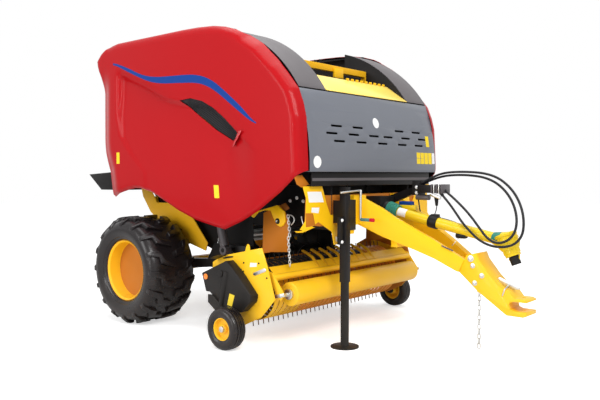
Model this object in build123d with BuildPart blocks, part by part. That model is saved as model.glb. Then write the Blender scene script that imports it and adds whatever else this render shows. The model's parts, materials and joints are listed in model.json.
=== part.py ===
from build123d import *
import math
import os

os.makedirs("parts", exist_ok=True)

# Trailed round baler with belts, parked on its tyres, its jack and its pickup's gauge wheels.
# Millimetres. The machine faces -Y, its left side is +X and the floor is Z = 0.
# Outlines are (back from the axle, height) pairs, so what lies ahead of the axle is negative.

# Overall reach, which sets the axle's place
HITCH_REACH = 3585
TAIL_REACH = 1210
AXLE_Y = (HITCH_REACH - TAIL_REACH) / 2

# Running gear
TYRE_R = 533
TYRE_WIDTH = 550
LUG_HEIGHT = 28
LUG_PAIRS = 16
HALF_TRACK = 1040
RIM_R = 298
RIM_WALL = 9
AXLE_BOX = 120
SPINDLE_R = 38
GAUGE_R = 180
GAUGE_WIDTH = 150
GAUGE_RIM_R = 96
GAUGE_PIN_R = 16
GAUGE_HUB_IN = 74
GAUGE_BACK = -1484

# Sheet, tube and running clearances
SHEET = 6
PLATE = 12
SKIN = 5
SEAT = 0.3
PIN_CLEAR = 0.3

# Bale chamber
CHAMBER_HALF = 600
BEAM_WIDE = 80
GATE_GAP = 100
WING_GAP = 45
RAM_GAP = 59
BELT_THICK = 8
BELT_COUNT = 4
BELT_WIDTH = 272
PIVOT = (-950, 2450)
PIVOT_R = 32
ROTOR = (-930, 660)
ROTOR_R = 200
ROTOR_STUB_R = 45

# Tailgate cylinders
RAM_FOOT = (-930, 760)
RAM_HEAD = (-560, 2110)
RAM_R = 42
RAM_TUBE = 960
RAM_ROD_R = 20
RAM_PIN_R = 20

# Pickup
REEL = (-1470, 450)
BAND_R = 255
TINE_TIP_R = 312
TINE_BAR_R = 150
REEL_HALF = 1000
PICKUP_HALF = 1100
TINE_PITCH = 66
TINE_ROWS = 4
BAND_COUNT = 29
BAND_WIDE = 44
GUARD_PIVOT = (-1360, 715)
GUARD_PIPE = (-1800, 610)
GUARD_PIPE_R = 30
GUARD_ROLLER = (-1890, 470)
GUARD_ROLLER_R = 100
GUARD_ROLLER_HALF = 953
GUARD_HALF = 1065
COVER_DEEP = 95
GAUGE_GAP = 16

# Places across the machine that follow from the chamber's width
FRAME_IN = CHAMBER_HALF + SHEET
SILL_OUT = FRAME_IN + BEAM_WIDE
GATE_IN = CHAMBER_HALF + GATE_GAP
FENDER_IN = CHAMBER_HALF + WING_GAP
RAM_X = SILL_OUT + RAM_GAP

# Body skins
SHIELD_HALF = 1002
DOOR_OUT = 1120
DOOR_IN = 1005
RAIL_X = 975
RAIL_FOOT = 2765
HINGE_X = 996
HINGE_Z = 2806
KNUCKLES = (-620, -180, 250)
KNUCKLE_R = 10
KNUCKLE_LONG = 60

# Drawbar and driveline
BEAM_ROOT = (350, -2149)
BEAM_NOSE = (90, -3110)
BEAM_THICK = 60
HITCH_HALF = 100
TONGUE_HALF = 60
HITCH_PIN_R = 17
HITCH_PIN_BACK = -3525
JACK_X = -580
JACK_BACK = -2190
JACK_TUBE = 66
JACK_WALL = 4
JACK_LEG = 52
JACK_FOOT_R = 122
JACK_TRAVEL = 400
PTO_START = (-2300, 1150)
PTO_END = (-3388, 936)
PTO_TUBE_R = 46
BELL_NECK = 128
YOKE_R = 40
YOKE_LONG = 70
SPLINE_R = 17.5

SIDES = ((-1, "right"), (1, "left"))


def station(points):
    """Row Y and Z of points given as (back from the axle, height)."""
    return [(AXLE_Y + back, up) for back, up in points]


def spot(point):
    """Row Y and Z of one point."""
    return (AXLE_Y + point[0], point[1])


def side_plate(outline, inner_x, thick, side):
    """Flat plate across X, its inner face inner_x from the middle."""
    with BuildPart() as plate:
        with BuildSketch(Plane.YZ.offset(side * inner_x)):
            with BuildLine():
                Polyline(*station(outline), close=True)
            make_face()
        extrude(amount=side * thick)
    return plate.part


def cross_bar(point, radius, half_length):
    """Round bar along X through a side-plane point."""
    with BuildPart() as bar:
        with BuildSketch(Plane.YZ.offset(-half_length)):
            with Locations(spot(point)):
                Circle(radius)
        extrude(amount=2 * half_length)
    return bar.part


def short_bar(point, radius, inner_x, length, side):
    """Round boss or pin on one side, from inner_x outwards."""
    with BuildPart() as boss:
        with BuildSketch(Plane.YZ.offset(side * inner_x)):
            with Locations(spot(point)):
                Circle(radius)
        extrude(amount=side * length)
    return boss.part


def block(low, high):
    """Box between two corners, each (across, back from the axle, height)."""
    with BuildPart() as box:
        with BuildSketch(Plane.XY.offset(low[2])):
            with Locations(((low[0] + high[0]) / 2, AXLE_Y + (low[1] + high[1]) / 2)):
                Rectangle(high[0] - low[0], high[1] - low[1])
        extrude(amount=high[2] - low[2])
    return box.part


def on_axis(part, x, point, side):
    """A piece turned about Z, set with its axis along X and its top facing the given side."""
    return Plane((x, *spot(point)), x_dir=(0, 1, 0), z_dir=(side, 0, 0)) * part


def weldment(pieces):
    """Pieces that are welded face to face, kept as separate solids of one node."""
    return Compound([solid for piece in pieces for solid in piece.solids()])


def save(part, name):
    """Label one finished piece and write it."""
    part.label = name
    export_step(part, f"parts/{name}.step")


# Main tyres: a low section carcass with two rows of angled lugs that meet in a chevron
TREAD_R = TYRE_R - LUG_HEIGHT
CROWN_HALF = TYRE_WIDTH / 2 - 60
SHOULDER = (TYRE_WIDTH / 2 - 13, 452)
SIDEWALL = (TYRE_WIDTH / 2, 400)
BEAD = (214, RIM_R + 2)

with BuildPart() as lug_envelope:
    with BuildSketch(Plane.XZ):
        with BuildLine():
            Polyline((SIDEWALL[1], -SIDEWALL[0]), (SHOULDER[1] + 14, -SIDEWALL[0]), (TYRE_R, -CROWN_HALF - 10),
                     (TYRE_R, CROWN_HALF + 10), (SHOULDER[1] + 14, SIDEWALL[0]), (SIDEWALL[1], SIDEWALL[0]),
                     close=True)
        make_face()
    revolve(axis=Axis.Z)

LUG_OUTLINE = ((12, -42), (120, -8), (130, 62), (270, 100), (270, 44), (186, 14), (176, -54), (12, -106))


def tyre_lug(hand, turn):
    """One zigzag lug of the crown, on the side of the centre line that hand gives."""
    with BuildPart() as lug:
        with BuildSketch(Plane.YZ.offset(SHOULDER[1] - 24)):
            with BuildLine():
                Polyline(*[(along, hand * across) for across, along in LUG_OUTLINE], close=True)
            make_face()
        extrude(amount=TYRE_R)
        add(lug_envelope.part, mode=Mode.INTERSECT)
    return lug.part.rotate(Axis.Z, turn)


lug_pair = (tyre_lug(1, 0), tyre_lug(-1, 180 / LUG_PAIRS))

with BuildPart() as tyre:
    with BuildSketch(Plane.XZ):
        with BuildLine():
            Polyline((BEAD[1], -BEAD[0]), (SIDEWALL[1], -SIDEWALL[0]), (SHOULDER[1], -SHOULDER[0]),
                     (TREAD_R, -CROWN_HALF), (TREAD_R, CROWN_HALF), (SHOULDER[1], SHOULDER[0]),
                     (SIDEWALL[1], SIDEWALL[0]), (BEAD[1], BEAD[0]))
            Line((BEAD[1], BEAD[0]), (BEAD[1], -BEAD[0]))
        make_face()
    revolve(axis=Axis.Z)
    with PolarLocations(0, LUG_PAIRS):
        add(lug_pair)

# Rims: a drop-centre barrel with a flanged lip and a deep-set disc
DISC_FACE = 96
DISC_THICK = 14
HUB_R = 90

with BuildPart() as rim:
    with BuildSketch(Plane.XZ):
        with BuildLine():
            Polyline((RIM_R + 1, -BEAD[0] - 14), (RIM_R + 1, -BEAD[0]), (RIM_R - 14, -BEAD[0] + 8),
                     (RIM_R - 14, -90), (RIM_R - 45, -60), (RIM_R - 45, 60), (RIM_R - 14, 90),
                     (RIM_R - 14, BEAD[0] - 8), (RIM_R + 1, BEAD[0]), (RIM_R + 1, BEAD[0] + 14),
                     (RIM_R - 8, BEAD[0] + 14), (RIM_R - 14 - RIM_WALL, BEAD[0] - 2),
                     (RIM_R - 14 - RIM_WALL, DISC_FACE), (0, DISC_FACE), (0, DISC_FACE - DISC_THICK),
                     (SPINDLE_R + PIN_CLEAR, DISC_FACE - DISC_THICK), (SPINDLE_R + PIN_CLEAR, -120),
                     (HUB_R, -120), (HUB_R, DISC_FACE - DISC_THICK),
                     (RIM_R - 70, DISC_FACE - DISC_THICK), (RIM_R - 60, 60), (RIM_R - 54, 50),
                     (RIM_R - 54, -60), (RIM_R - 23, -94), (RIM_R - 23, -BEAD[0] + 2),
                     (RIM_R - 8, -BEAD[0] - 14), close=True)
        make_face()
    revolve(axis=Axis.Z)

for side, name in SIDES:
    save(on_axis(tyre.part, side * HALF_TRACK, (0, TYRE_R), side), f"tyre_{name}")
    save(on_axis(rim.part, side * HALF_TRACK, (0, TYRE_R), side), f"rim_{name}")

# Axle: a square beam under the chamber with a turned spindle at each end
SPINDLE_END = HALF_TRACK + DISC_FACE - DISC_THICK - 20
axle_bars = [short_bar((0, TYRE_R), SPINDLE_R, 700, SPINDLE_END - 700, side) for side in (-1, 1)]
with BuildPart() as axle:
    add(block((-700, -AXLE_BOX / 2, TYRE_R - AXLE_BOX / 2), (700, AXLE_BOX / 2, TYRE_R + AXLE_BOX / 2)))
    add(axle_bars)
save(axle.part, "axle")

# Gauge wheels of the pickup
with BuildPart() as gauge_tyre:
    with BuildSketch(Plane.XZ):
        with Locations((GAUGE_R - 42, 0)):
            RectangleRounded(84, GAUGE_WIDTH, 36)
    revolve(axis=Axis.Z)

with BuildPart() as gauge_rim:
    with BuildSketch(Plane.XZ):
        with BuildLine():
            Polyline((GAUGE_RIM_R, -60), (GAUGE_RIM_R, 60), (GAUGE_RIM_R - 8, 60), (GAUGE_RIM_R - 14, 20),
                     (38, 20), (38, 44), (GAUGE_PIN_R + PIN_CLEAR, 44), (GAUGE_PIN_R + PIN_CLEAR, -GAUGE_HUB_IN),
                     (38, -GAUGE_HUB_IN),
                     (38, 8), (GAUGE_RIM_R - 22, 8), (GAUGE_RIM_R - 8, -60), close=True)
        make_face()
    revolve(axis=Axis.Z)

ARM_IN = PICKUP_HALF + SEAT + COVER_DEEP + SEAT
GAUGE_X = ARM_IN + PLATE + GAUGE_GAP + GAUGE_WIDTH / 2
for side, name in SIDES:
    save(on_axis(gauge_tyre.part, side * GAUGE_X, (GAUGE_BACK, GAUGE_R), side), f"gauge_tyre_{name}")
    save(on_axis(gauge_rim.part, side * GAUGE_X, (GAUGE_BACK, GAUGE_R), side), f"gauge_rim_{name}")

# Main frame: the front cross tube and its corner plates. Side frame: beams on the axle and cheek plates.
SILL = ((110, 473), (110, 593), (-560, 640), (-660, 800), (-1110, 800), (-1120, 560), (-600, 560))
CHEEK = ((-2074, 1000), (-2074, 1380), (-1500, 1380), (-1120, 1120), (-1120, 1000))
CORNER = ((-1004, 1380), (-965, 1290), (-977, 1089), (-1040, 1027), (-960, 1012), (-809, 1080), (-619, 984),
          (-590, 872), (-505, 872), (-440, 953), (-440, 1131), (-646, 1131), (-701, 1236), (-755, 1372), (-757, 1380))
FRONT_FACE = -2086
with BuildPart() as corner_plate:
    with BuildSketch(Plane.XZ.offset(-(AXLE_Y + FRONT_FACE))):
        with BuildLine():
            Polyline(*CORNER, close=True)
        make_face()
    extrude(amount=-PLATE)

CROSS_TUBE = (FRONT_FACE + PLATE, FRONT_FACE + PLATE + 120, 1040, 1300)
CROSS_HALF = 760


def cross_tube(left, right):
    """A length of the front cross tube."""
    return block((left, CROSS_TUBE[0], CROSS_TUBE[2]), (right, CROSS_TUBE[1], CROSS_TUBE[3]))


save(weldment([corner_plate.part, corner_plate.part.mirror(Plane.YZ), cross_tube(-FRAME_IN, FRAME_IN),
               cross_tube(-CROSS_HALF, -FRAME_IN - PLATE), cross_tube(FRAME_IN + PLATE, CROSS_HALF)]), "main_frame")

frame_bits = []
for side in (-1, 1):
    with BuildPart() as sill:
        add(side_plate(SILL, FRAME_IN, BEAM_WIDE, side))
        with BuildSketch(Plane.YZ.offset(side * FRAME_IN)):
            with Locations(spot((0, TYRE_R))):
                Rectangle(AXLE_BOX + 2 * SEAT, AXLE_BOX + 2 * SEAT)
        extrude(amount=side * BEAM_WIDE, mode=Mode.SUBTRACT)
    frame_bits.append(sill.part)
    frame_bits.append(side_plate(CHEEK, FRAME_IN, PLATE, side))
    frame_bits.append(short_bar(ROTOR, ROTOR_STUB_R, SILL_OUT, 40, side))
    frame_bits.append(short_bar(RAM_FOOT, RAM_PIN_R, SILL_OUT, RAM_X + 2 * RAM_R - SILL_OUT, side))
save(weldment(frame_bits), "side_frame")

# Front channel: a folded section across the front, open to the rear
CHANNEL_LOW = (-940, -2120, 1380)
CHANNEL_HIGH = (940, -1960, 1500)
CHANNEL_WALL = 10
with BuildPart() as front_channel:
    add(block(CHANNEL_LOW, CHANNEL_HIGH))
    add(block((CHANNEL_LOW[0], CHANNEL_LOW[1] + CHANNEL_WALL, CHANNEL_LOW[2] + CHANNEL_WALL),
              (CHANNEL_HIGH[0], CHANNEL_HIGH[1], CHANNEL_HIGH[2] - CHANNEL_WALL)), mode=Mode.SUBTRACT)
save(front_channel.part, "front_channel")

# Fixed walls of the bale chamber
WALL = ((-1960, 1380), (-1960, 1850), (-1860, 2100), (-1700, 2300), (-1450, 2480), (-1200, 2560), (-870, 2580),
        (-860, 2200), (-628, 800), (-628, 560), (-1120, 560), (-1120, 1120), (-1500, 1240), (-1800, 1240))
with BuildPart() as chamber_walls:
    for side in (-1, 1):
        add(side_plate(WALL, CHAMBER_HALF, SHEET, side))
save(chamber_walls.part, "chamber_walls")

# Tailgate pivots and door rails, carried by the chamber walls
pivot_bits = []
for side in (-1, 1):
    pivot_bits.append(short_bar(PIVOT, PIVOT_R, CHAMBER_HALF + SHEET, 130, side))
    low = sorted((side * (CHAMBER_HALF + SHEET), side * (RAIL_X + 15)))
    pivot_bits.append(block((low[0], -1260, 2480), (low[1], -1220, 2520)))
    rail = sorted((side * (RAIL_X - 15), side * (RAIL_X + 15)))
    pivot_bits.append(block((rail[0], -1260, 2520), (rail[1], -1220, RAIL_FOOT)))
    with BuildPart() as door_rail:
        add(block((rail[0], -1300, RAIL_FOOT), (rail[1], 300, RAIL_FOOT + 25)))
        for back in KNUCKLES:
            for end in (-1, 1):
                edge = back + end * (KNUCKLE_LONG / 2 + SEAT)
                ear = sorted((edge, edge + end * 12))
                wide = sorted((side * (RAIL_X - 15), side * (HINGE_X + 8)))
                add(block((wide[0], ear[0], RAIL_FOOT + 20), (wide[1], ear[1], HINGE_Z + 8)))
    pivot_bits.append(door_rail.part)
save(weldment(pivot_bits), "upper_frame")

# Rollers of the front chamber half
FRONT_ROLLERS = ((-1715, 1240 + BELT_THICK + SEAT + 61, 61), (-1715, 1950, 61), (-1400, 2330, 61), (-1030, 1060, 75),
                 (-700, 850, 60))
with BuildPart() as front_rollers:
    for back, up, radius in FRONT_ROLLERS:
        add(cross_bar((back, up), radius, CHAMBER_HALF - SEAT))
save(front_rollers.part, "front_rollers")


def belt_set(outline, radius):
    """Endless belts side by side, following a rounded outline in the side plane."""
    pitch = BELT_WIDTH + (2 * CHAMBER_HALF - 40 - BELT_COUNT * BELT_WIDTH) / (BELT_COUNT - 1)
    first = -pitch * (BELT_COUNT - 1) / 2
    with BuildPart() as belts:
        for number in range(BELT_COUNT):
            with BuildSketch(Plane.YZ.offset(first + number * pitch - BELT_WIDTH / 2)):
                with BuildLine():
                    FilletPolyline(*station(outline), radius=radius, close=True)
                belt_face = make_face()
                offset(belt_face, amount=-BELT_THICK, mode=Mode.SUBTRACT)
            extrude(amount=BELT_WIDTH)
    return belts.part


FRONT_BELT = ((-1790, 1240), (-1790, 1975), (-1455, 2405), (-1080, 2490), (-1120, 2400), (-1400, 2230), (-1640, 1930),
              (-1640, 1240))
save(belt_set(FRONT_BELT, 40), "front_belts")

# Tailgate: side plates with turned rims, cross tubes, inner walls, belts and rollers
GATE = ((-1010, 2400), (-1010, 2500), (-600, 2690), (330, 2690), (560, 2540), (600, 2100), (570, 1600), (450, 1240),
        (319, 1076), (-60, 840), (-562, 720), (-590, 800), (-368, 1040), (-560, 1500), (-800, 2330))
GATE_HOLE = ((-620, 2520), (-560, 2560), (290, 2560), (430, 2480), (470, 2100), (440, 1640), (330, 1330),
             (210, 1180), (-120, 1180), (-260, 1240), (-430, 1640))
GATE_TUBES = ((300, 2630), (500, 2300), (500, 1700), (360, 1200), (-150, 872))
GATE_TUBE = 80
GATE_WALL = ((-750, 2600), (-740, 2400), (-850, 2190), (-619, 800), (-540, 730), (-250, 820), (220, 1080),
             (400, 1280), (450, 1600), (460, 2260), (440, 2500), (250, 2580))
gate_bits = []
for side in (-1, 1):
    with BuildPart() as gate_plate:
        with BuildSketch(Plane.YZ.offset(side * GATE_IN)):
            with BuildLine():
                Polyline(*station(GATE), close=True)
            make_face()
            with BuildLine():
                Polyline(*station(GATE_HOLE), close=True)
            make_face(mode=Mode.SUBTRACT)
            with Locations(spot(PIVOT)):
                Circle(PIVOT_R + PIN_CLEAR, mode=Mode.SUBTRACT)
        extrude(amount=side * PLATE)
    gate_bits.append(gate_plate.part)
    gate_bits.append(short_bar(RAM_HEAD, 38, GATE_IN + PLATE, RAM_X - SEAT - GATE_IN - PLATE, side))
for back, up in GATE_TUBES:
    gate_bits.append(block((-GATE_IN, back - GATE_TUBE / 2, up - GATE_TUBE / 2),
                           (GATE_IN, back + GATE_TUBE / 2, up + GATE_TUBE / 2)))
with BuildPart() as tailgate_frame:
    add(gate_bits)
save(tailgate_frame.part, "tailgate_frame")

with BuildPart() as tailgate_walls:
    for side in (-1, 1):
        add(side_plate(GATE_WALL, CHAMBER_HALF, SHEET, side))
    add(tailgate_frame.part, mode=Mode.SUBTRACT)
save(tailgate_walls.part, "tailgate_walls")

GATE_ROLLERS = ((195, 2500 - BELT_THICK - SEAT - 52, 52), (380 - BELT_THICK - SEAT - 58, 1432, 58), (-430, 882, 45))
with BuildPart() as tailgate_rollers:
    for back, up, radius in GATE_ROLLERS:
        add(cross_bar((back, up), radius, CHAMBER_HALF - SEAT))
save(tailgate_rollers.part, "tailgate_rollers")

GATE_BELT = ((-720, 2500), (290, 2500), (380, 2330), (380, 1400), (300, 1330), (-400, 810), (-530, 850), (-470, 985),
             (220, 1460), (280, 1700), (270, 2240), (180, 2345), (-720, 2420))
save(belt_set(GATE_BELT, 30), "tailgate_belts")

# Rear guard with the lamp board: a wedge of sheet, open below, on two brackets of the tailgate
GUARD_LIP = (TAIL_REACH, 1479)
GUARD_HEEL = (970, 1308)
GUARD_FRONT = 554
GUARD_OUTER = ((GUARD_FRONT, 1515), GUARD_LIP, GUARD_HEEL, (GUARD_FRONT, 1311))
GUARD_INNER = ((GUARD_FRONT + SHEET, 1280), (GUARD_FRONT + SHEET, 1509), (1192, 1474), (920, 1280))
GUARD_BRACKET = ((430, 1330), (GUARD_FRONT + 2, 1330), (GUARD_FRONT + 2, 1500), (480, 1500))
GUARD_IN_X = 885
with BuildPart() as rear_guard:
    add(side_plate(GUARD_OUTER, -GUARD_IN_X - SHEET, 2 * (GUARD_IN_X + SHEET), 1))
    add(side_plate(GUARD_INNER, -GUARD_IN_X, 2 * GUARD_IN_X, 1), mode=Mode.SUBTRACT)
    for side in (-1, 1):
        add(side_plate(GUARD_BRACKET, GATE_IN + PLATE, PLATE, side))
save(rear_guard.part, "rear_guard")

with BuildPart() as tail_lamps:
    lamp_tilt = math.atan2(GUARD_LIP[1] - GUARD_HEEL[1], GUARD_LIP[0] - GUARD_HEEL[0])
    lamp_middle = ((GUARD_LIP[0] + GUARD_HEEL[0]) / 2, (GUARD_LIP[1] + GUARD_HEEL[1]) / 2)
    lamp_face = Plane((0, *spot(lamp_middle)), x_dir=(1, 0, 0), z_dir=(0, math.sin(lamp_tilt), -math.cos(lamp_tilt)))
    with BuildSketch(lamp_face):
        with Locations((-720, 0), (720, 0)):
            Rectangle(230, 110)
    extrude(amount=34)
save(tail_lamps.part, "tail_lamps")

# Front shield, folded sheet with rows of cooling slots
with BuildPart() as front_shield:
    with BuildSketch(Plane.YZ.offset(-SHIELD_HALF)):
        with BuildLine():
            base = Polyline(*station(((-2060, 1503), (-2152, 1503), (-2154, 1530))))
            face = ThreePointArc(*station(((-2154, 1530), (-2126, 1860), (-2035, 2185))))
        trace(line_width=SKIN)
    extrude(amount=2 * SHIELD_HALF)
    # Slot rows: height, then the middle of each slot across the shield
    SLOT_ROWS = (
        (1890, (-612, -305, 369, 674)),
        (1825, (-690, -377, -69, 162, 468, 774)),
        (1761, (-595, -274, 62, 396, 698)),
    )
    SLOT_LONG = 156
    SLOT_TALL = 18
    for up, middles in SLOT_ROWS:
        with BuildSketch(Plane.XZ.offset(-(AXLE_Y - 2200))):
            with Locations(*[(middle, up) for middle in middles]):
                SlotOverall(SLOT_LONG, SLOT_TALL)
        extrude(amount=-200, mode=Mode.SUBTRACT)
save(front_shield.part, "front_shield")

# Fenders: curved wings over the front corners
FENDER_WIDE = 1000 - FENDER_IN
FENDER_ARC = ((-2030, 2198), (-1700, 2545), (-1265, 2752))
fender_bits = []
for side in (-1, 1):
    with BuildPart() as wing:
        with BuildSketch(Plane.YZ.offset(side * FENDER_IN)):
            with BuildLine():
                ThreePointArc(*station(FENDER_ARC))
            trace(line_width=SKIN)
        extrude(amount=side * FENDER_WIDE)
        with BuildSketch(Plane.YZ.offset(side * FENDER_IN)):
            with BuildLine():
                ThreePointArc(*station(FENDER_ARC))
                Polyline(*station((FENDER_ARC[2], (-1265, 2500), (-1700, 2300), (-1950, 2120), FENDER_ARC[0])))
            make_face()
        extrude(amount=-side * SKIN)
    fender_bits.append(wing.part)
    low = sorted((side * (CHAMBER_HALF + SHEET), side * (FENDER_IN - SKIN)))
    for back, up in ((-1600, 2330), (-1320, 2470)):
        fender_bits.append(block((low[0], back - 20, up - 20), (low[1], back + 20, up + 20)))
with BuildPart() as fenders:
    add(fender_bits)
save(fenders.part, "fenders")

# Yellow sheet between the fenders and the cross bar behind it
TOP_HALF = FENDER_IN - SKIN
with BuildPart() as top_plate:
    add(side_plate(((-2040, 2200), (-1800, 2366), (-1796, 2361), (-2036, 2195)), -TOP_HALF, 2 * TOP_HALF, 1))
    add(side_plate(((-1800, 2366), (-1796, 2366), (-1796, 2290), (-1800, 2290)), -TOP_HALF, 2 * TOP_HALF, 1))
save(top_plate.part, "top_plate")

RAIL_END = CHAMBER_HALF + SHEET + PLATE
with BuildPart() as cross_rail:
    add(block((-RAIL_END, -1560, 2480), (RAIL_END, -1500, 2540)))
    for side in (-1, 1):
        add(side_plate(((-1560, 2350), (-1560, 2490), (-1500, 2490), (-1500, 2390)), CHAMBER_HALF + SHEET, PLATE, side))
save(cross_rail.part, "cross_rail")

# Side doors: one-piece skins with turned-in edges, hung along their top edge
DOOR_SIDE = ((-2140, 1510), (-2120, 1940), (-2040, 2180), (-1820, 2430), (-1640, 2590), (-1360, 2740), (-1070, 2810),
             (-650, 2830), (350, 2830), (490, 2810), (700, 2670), (665, 2500), (675, 1850), (660, 1700),
             (580, 1500), (530, 1240), (180, 1320), (-30, 1340), (-360, 1240), (-850, 1060), (-1240, 990),
             (-1660, 1170), (-1910, 1330))
DOOR_EDGE = 30
VENT = ((-651, 2168), (-974, 2140), (-1249, 1981), (-1424, 1843), (-1336, 1769), (-1118, 1873))
VENT_THICK = 4


def door(side):
    """One side door, open inwards."""
    with BuildPart() as skin:
        with BuildSketch(Plane.YZ.offset(side * DOOR_IN)):
            with BuildLine():
                Polyline(*station(DOOR_SIDE), close=True)
            make_face()
        extrude(amount=side * (DOOR_OUT - DOOR_IN))
        chamfer(skin.faces().sort_by(Axis.X)[-1 if side > 0 else 0].edges(), length=DOOR_EDGE)
    with BuildPart() as hollow:
        with BuildSketch(Plane.YZ.offset(side * DOOR_IN)):
            with BuildLine():
                Polyline(*station(DOOR_SIDE), close=True)
            outline = make_face(mode=Mode.PRIVATE)
            offset(outline, amount=-SKIN)
        extrude(amount=side * (DOOR_OUT - DOOR_IN - SKIN))
        chamfer(hollow.faces().sort_by(Axis.X)[-1 if side > 0 else 0].edges(), length=DOOR_EDGE)
    return skin.part - hollow.part


for side, name in SIDES:
    skin = door(side)
    with BuildPart() as hung:
        add(skin)
        for back in KNUCKLES:
            with BuildSketch(Plane.XZ.offset(-(AXLE_Y + back - KNUCKLE_LONG / 2))):
                with Locations((side * HINGE_X, HINGE_Z)):
                    Circle(KNUCKLE_R)
            extrude(amount=-KNUCKLE_LONG)
            with BuildSketch(Plane.XZ.offset(-(AXLE_Y + back - KNUCKLE_LONG / 2))):
                with Locations((side * (HINGE_X + 8), HINGE_Z + KNUCKLE_R + 8)):
                    Rectangle(28, 18)
            extrude(amount=-KNUCKLE_LONG)
        with BuildSketch(Plane.YZ.offset(side * (DOOR_OUT - 2 * SKIN))):
            with BuildLine():
                Polyline(*station(VENT), close=True)
            vent_face = make_face(mode=Mode.PRIVATE)
            offset(vent_face, amount=SEAT)
        extrude(amount=side * 3 * SKIN, mode=Mode.SUBTRACT)
    save(hung.part, f"side_door_{name}")
    save(side_plate(VENT, DOOR_OUT - SKIN, VENT_THICK, side), f"vent_{name}")

# Gearbox and driveline
pto_dir = math.atan2(PTO_END[1] - PTO_START[1], PTO_END[0] - PTO_START[0])


def along_shaft(run):
    """Plane square to the driveline, run millimetres past its start."""
    back = PTO_START[0] + run * math.cos(pto_dir)
    up = PTO_START[1] + run * math.sin(pto_dir)
    return Plane((0, *spot((back, up))), x_dir=(1, 0, 0), z_dir=(0, math.cos(pto_dir), math.sin(pto_dir)))


with BuildPart() as gearbox:
    add(block((-110, -2235, 1060), (110, -2074, 1280)))
    with BuildSketch(along_shaft(-100)):
        Circle(72)
    extrude(amount=60)
save(gearbox.part, "gearbox")

PTO_LONG = math.hypot(PTO_END[0] - PTO_START[0], PTO_END[1] - PTO_START[1])
CONE_RIBS = ((0, -40), (78, -40), (78, -28), (72, -24), (75, -18), (75, -6), (69, -2), (72, 4), (72, 16), (66, 20),
             (68, 26), (68, 38), (62, 42), (64, 48), (60, 60), (0, 60))
with BuildPart() as pto_cone:
    with BuildSketch(Plane.XZ):
        with BuildLine():
            Polyline(*CONE_RIBS, close=True)
        make_face()
    revolve(axis=Axis.Z)
save(along_shaft(0) * pto_cone.part, "pto_cone")

with BuildPart() as pto_guard:
    with BuildSketch(along_shaft(60)):
        Circle(PTO_TUBE_R)
    extrude(amount=PTO_LONG - 60 - BELL_NECK)
save(pto_guard.part, "pto_guard")

BELL_TILT = math.radians(-113)
bell_plane = Plane((0, *spot(PTO_END)), x_dir=(1, 0, 0), z_dir=(0, math.cos(BELL_TILT), math.sin(BELL_TILT)))
BELL_RIBS = ((0, -70), (84, -70), (92, -60), (92, -46), (86, -42), (86, -34), (92, -30), (92, -14), (86, -10), (86, -2),
             (92, 2), (92, 18), (74, 58), (68, 62), (68, 96), (62, 102), (62, 120), (0, 120))
with BuildPart() as bell_drum:
    with BuildSketch(Plane.XZ):
        with BuildLine():
            Polyline(*BELL_RIBS, close=True)
        make_face()
    revolve(axis=Axis.Z)
with BuildPart() as pto_bell:
    add(bell_plane * bell_drum.part)
    with BuildSketch(along_shaft(PTO_LONG - BELL_NECK)):
        Circle(PTO_TUBE_R)
    with BuildSketch(along_shaft(PTO_LONG - 10)):
        Circle(84)
    loft()
save(pto_bell.part, "pto_bell")

with BuildPart() as pto_yoke:
    with BuildSketch(bell_plane.offset(120)):
        Circle(YOKE_R)
    extrude(amount=YOKE_LONG)
    with BuildSketch(bell_plane.offset(120)):
        Circle(SPLINE_R)
    extrude(amount=YOKE_LONG, mode=Mode.SUBTRACT)
save(pto_yoke.part, "pto_yoke")

# Drawbar: two beams that converge on the hitch, with a cross plate behind it
BEAM_SIDE = ((0, 1297), (0, 1041), (230, 940), (520, 838), (690, 772), (870, 680), (995, 640), (995, 740), (920, 790),
             (690, 925), (520, 1014), (340, 1111), (215, 1190))


def drawbar_beam(side):
    """One beam, drawn on the upright plane of its outer face."""
    root = (side * BEAM_ROOT[0], AXLE_Y + BEAM_ROOT[1])
    nose = (side * BEAM_NOSE[0], AXLE_Y + BEAM_NOSE[1])
    reach = math.hypot(nose[0] - root[0], nose[1] - root[1])
    run = ((nose[0] - root[0]) / reach, (nose[1] - root[1]) / reach)
    plane = Plane((root[0], root[1], 0), x_dir=(run[0], run[1], 0), z_dir=(run[1], -run[0], 0))
    with BuildPart() as beam:
        with BuildSketch(plane):
            with BuildLine():
                Polyline(*BEAM_SIDE, close=True)
            make_face()
        extrude(amount=side * BEAM_THICK)
    return beam.part


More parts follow.
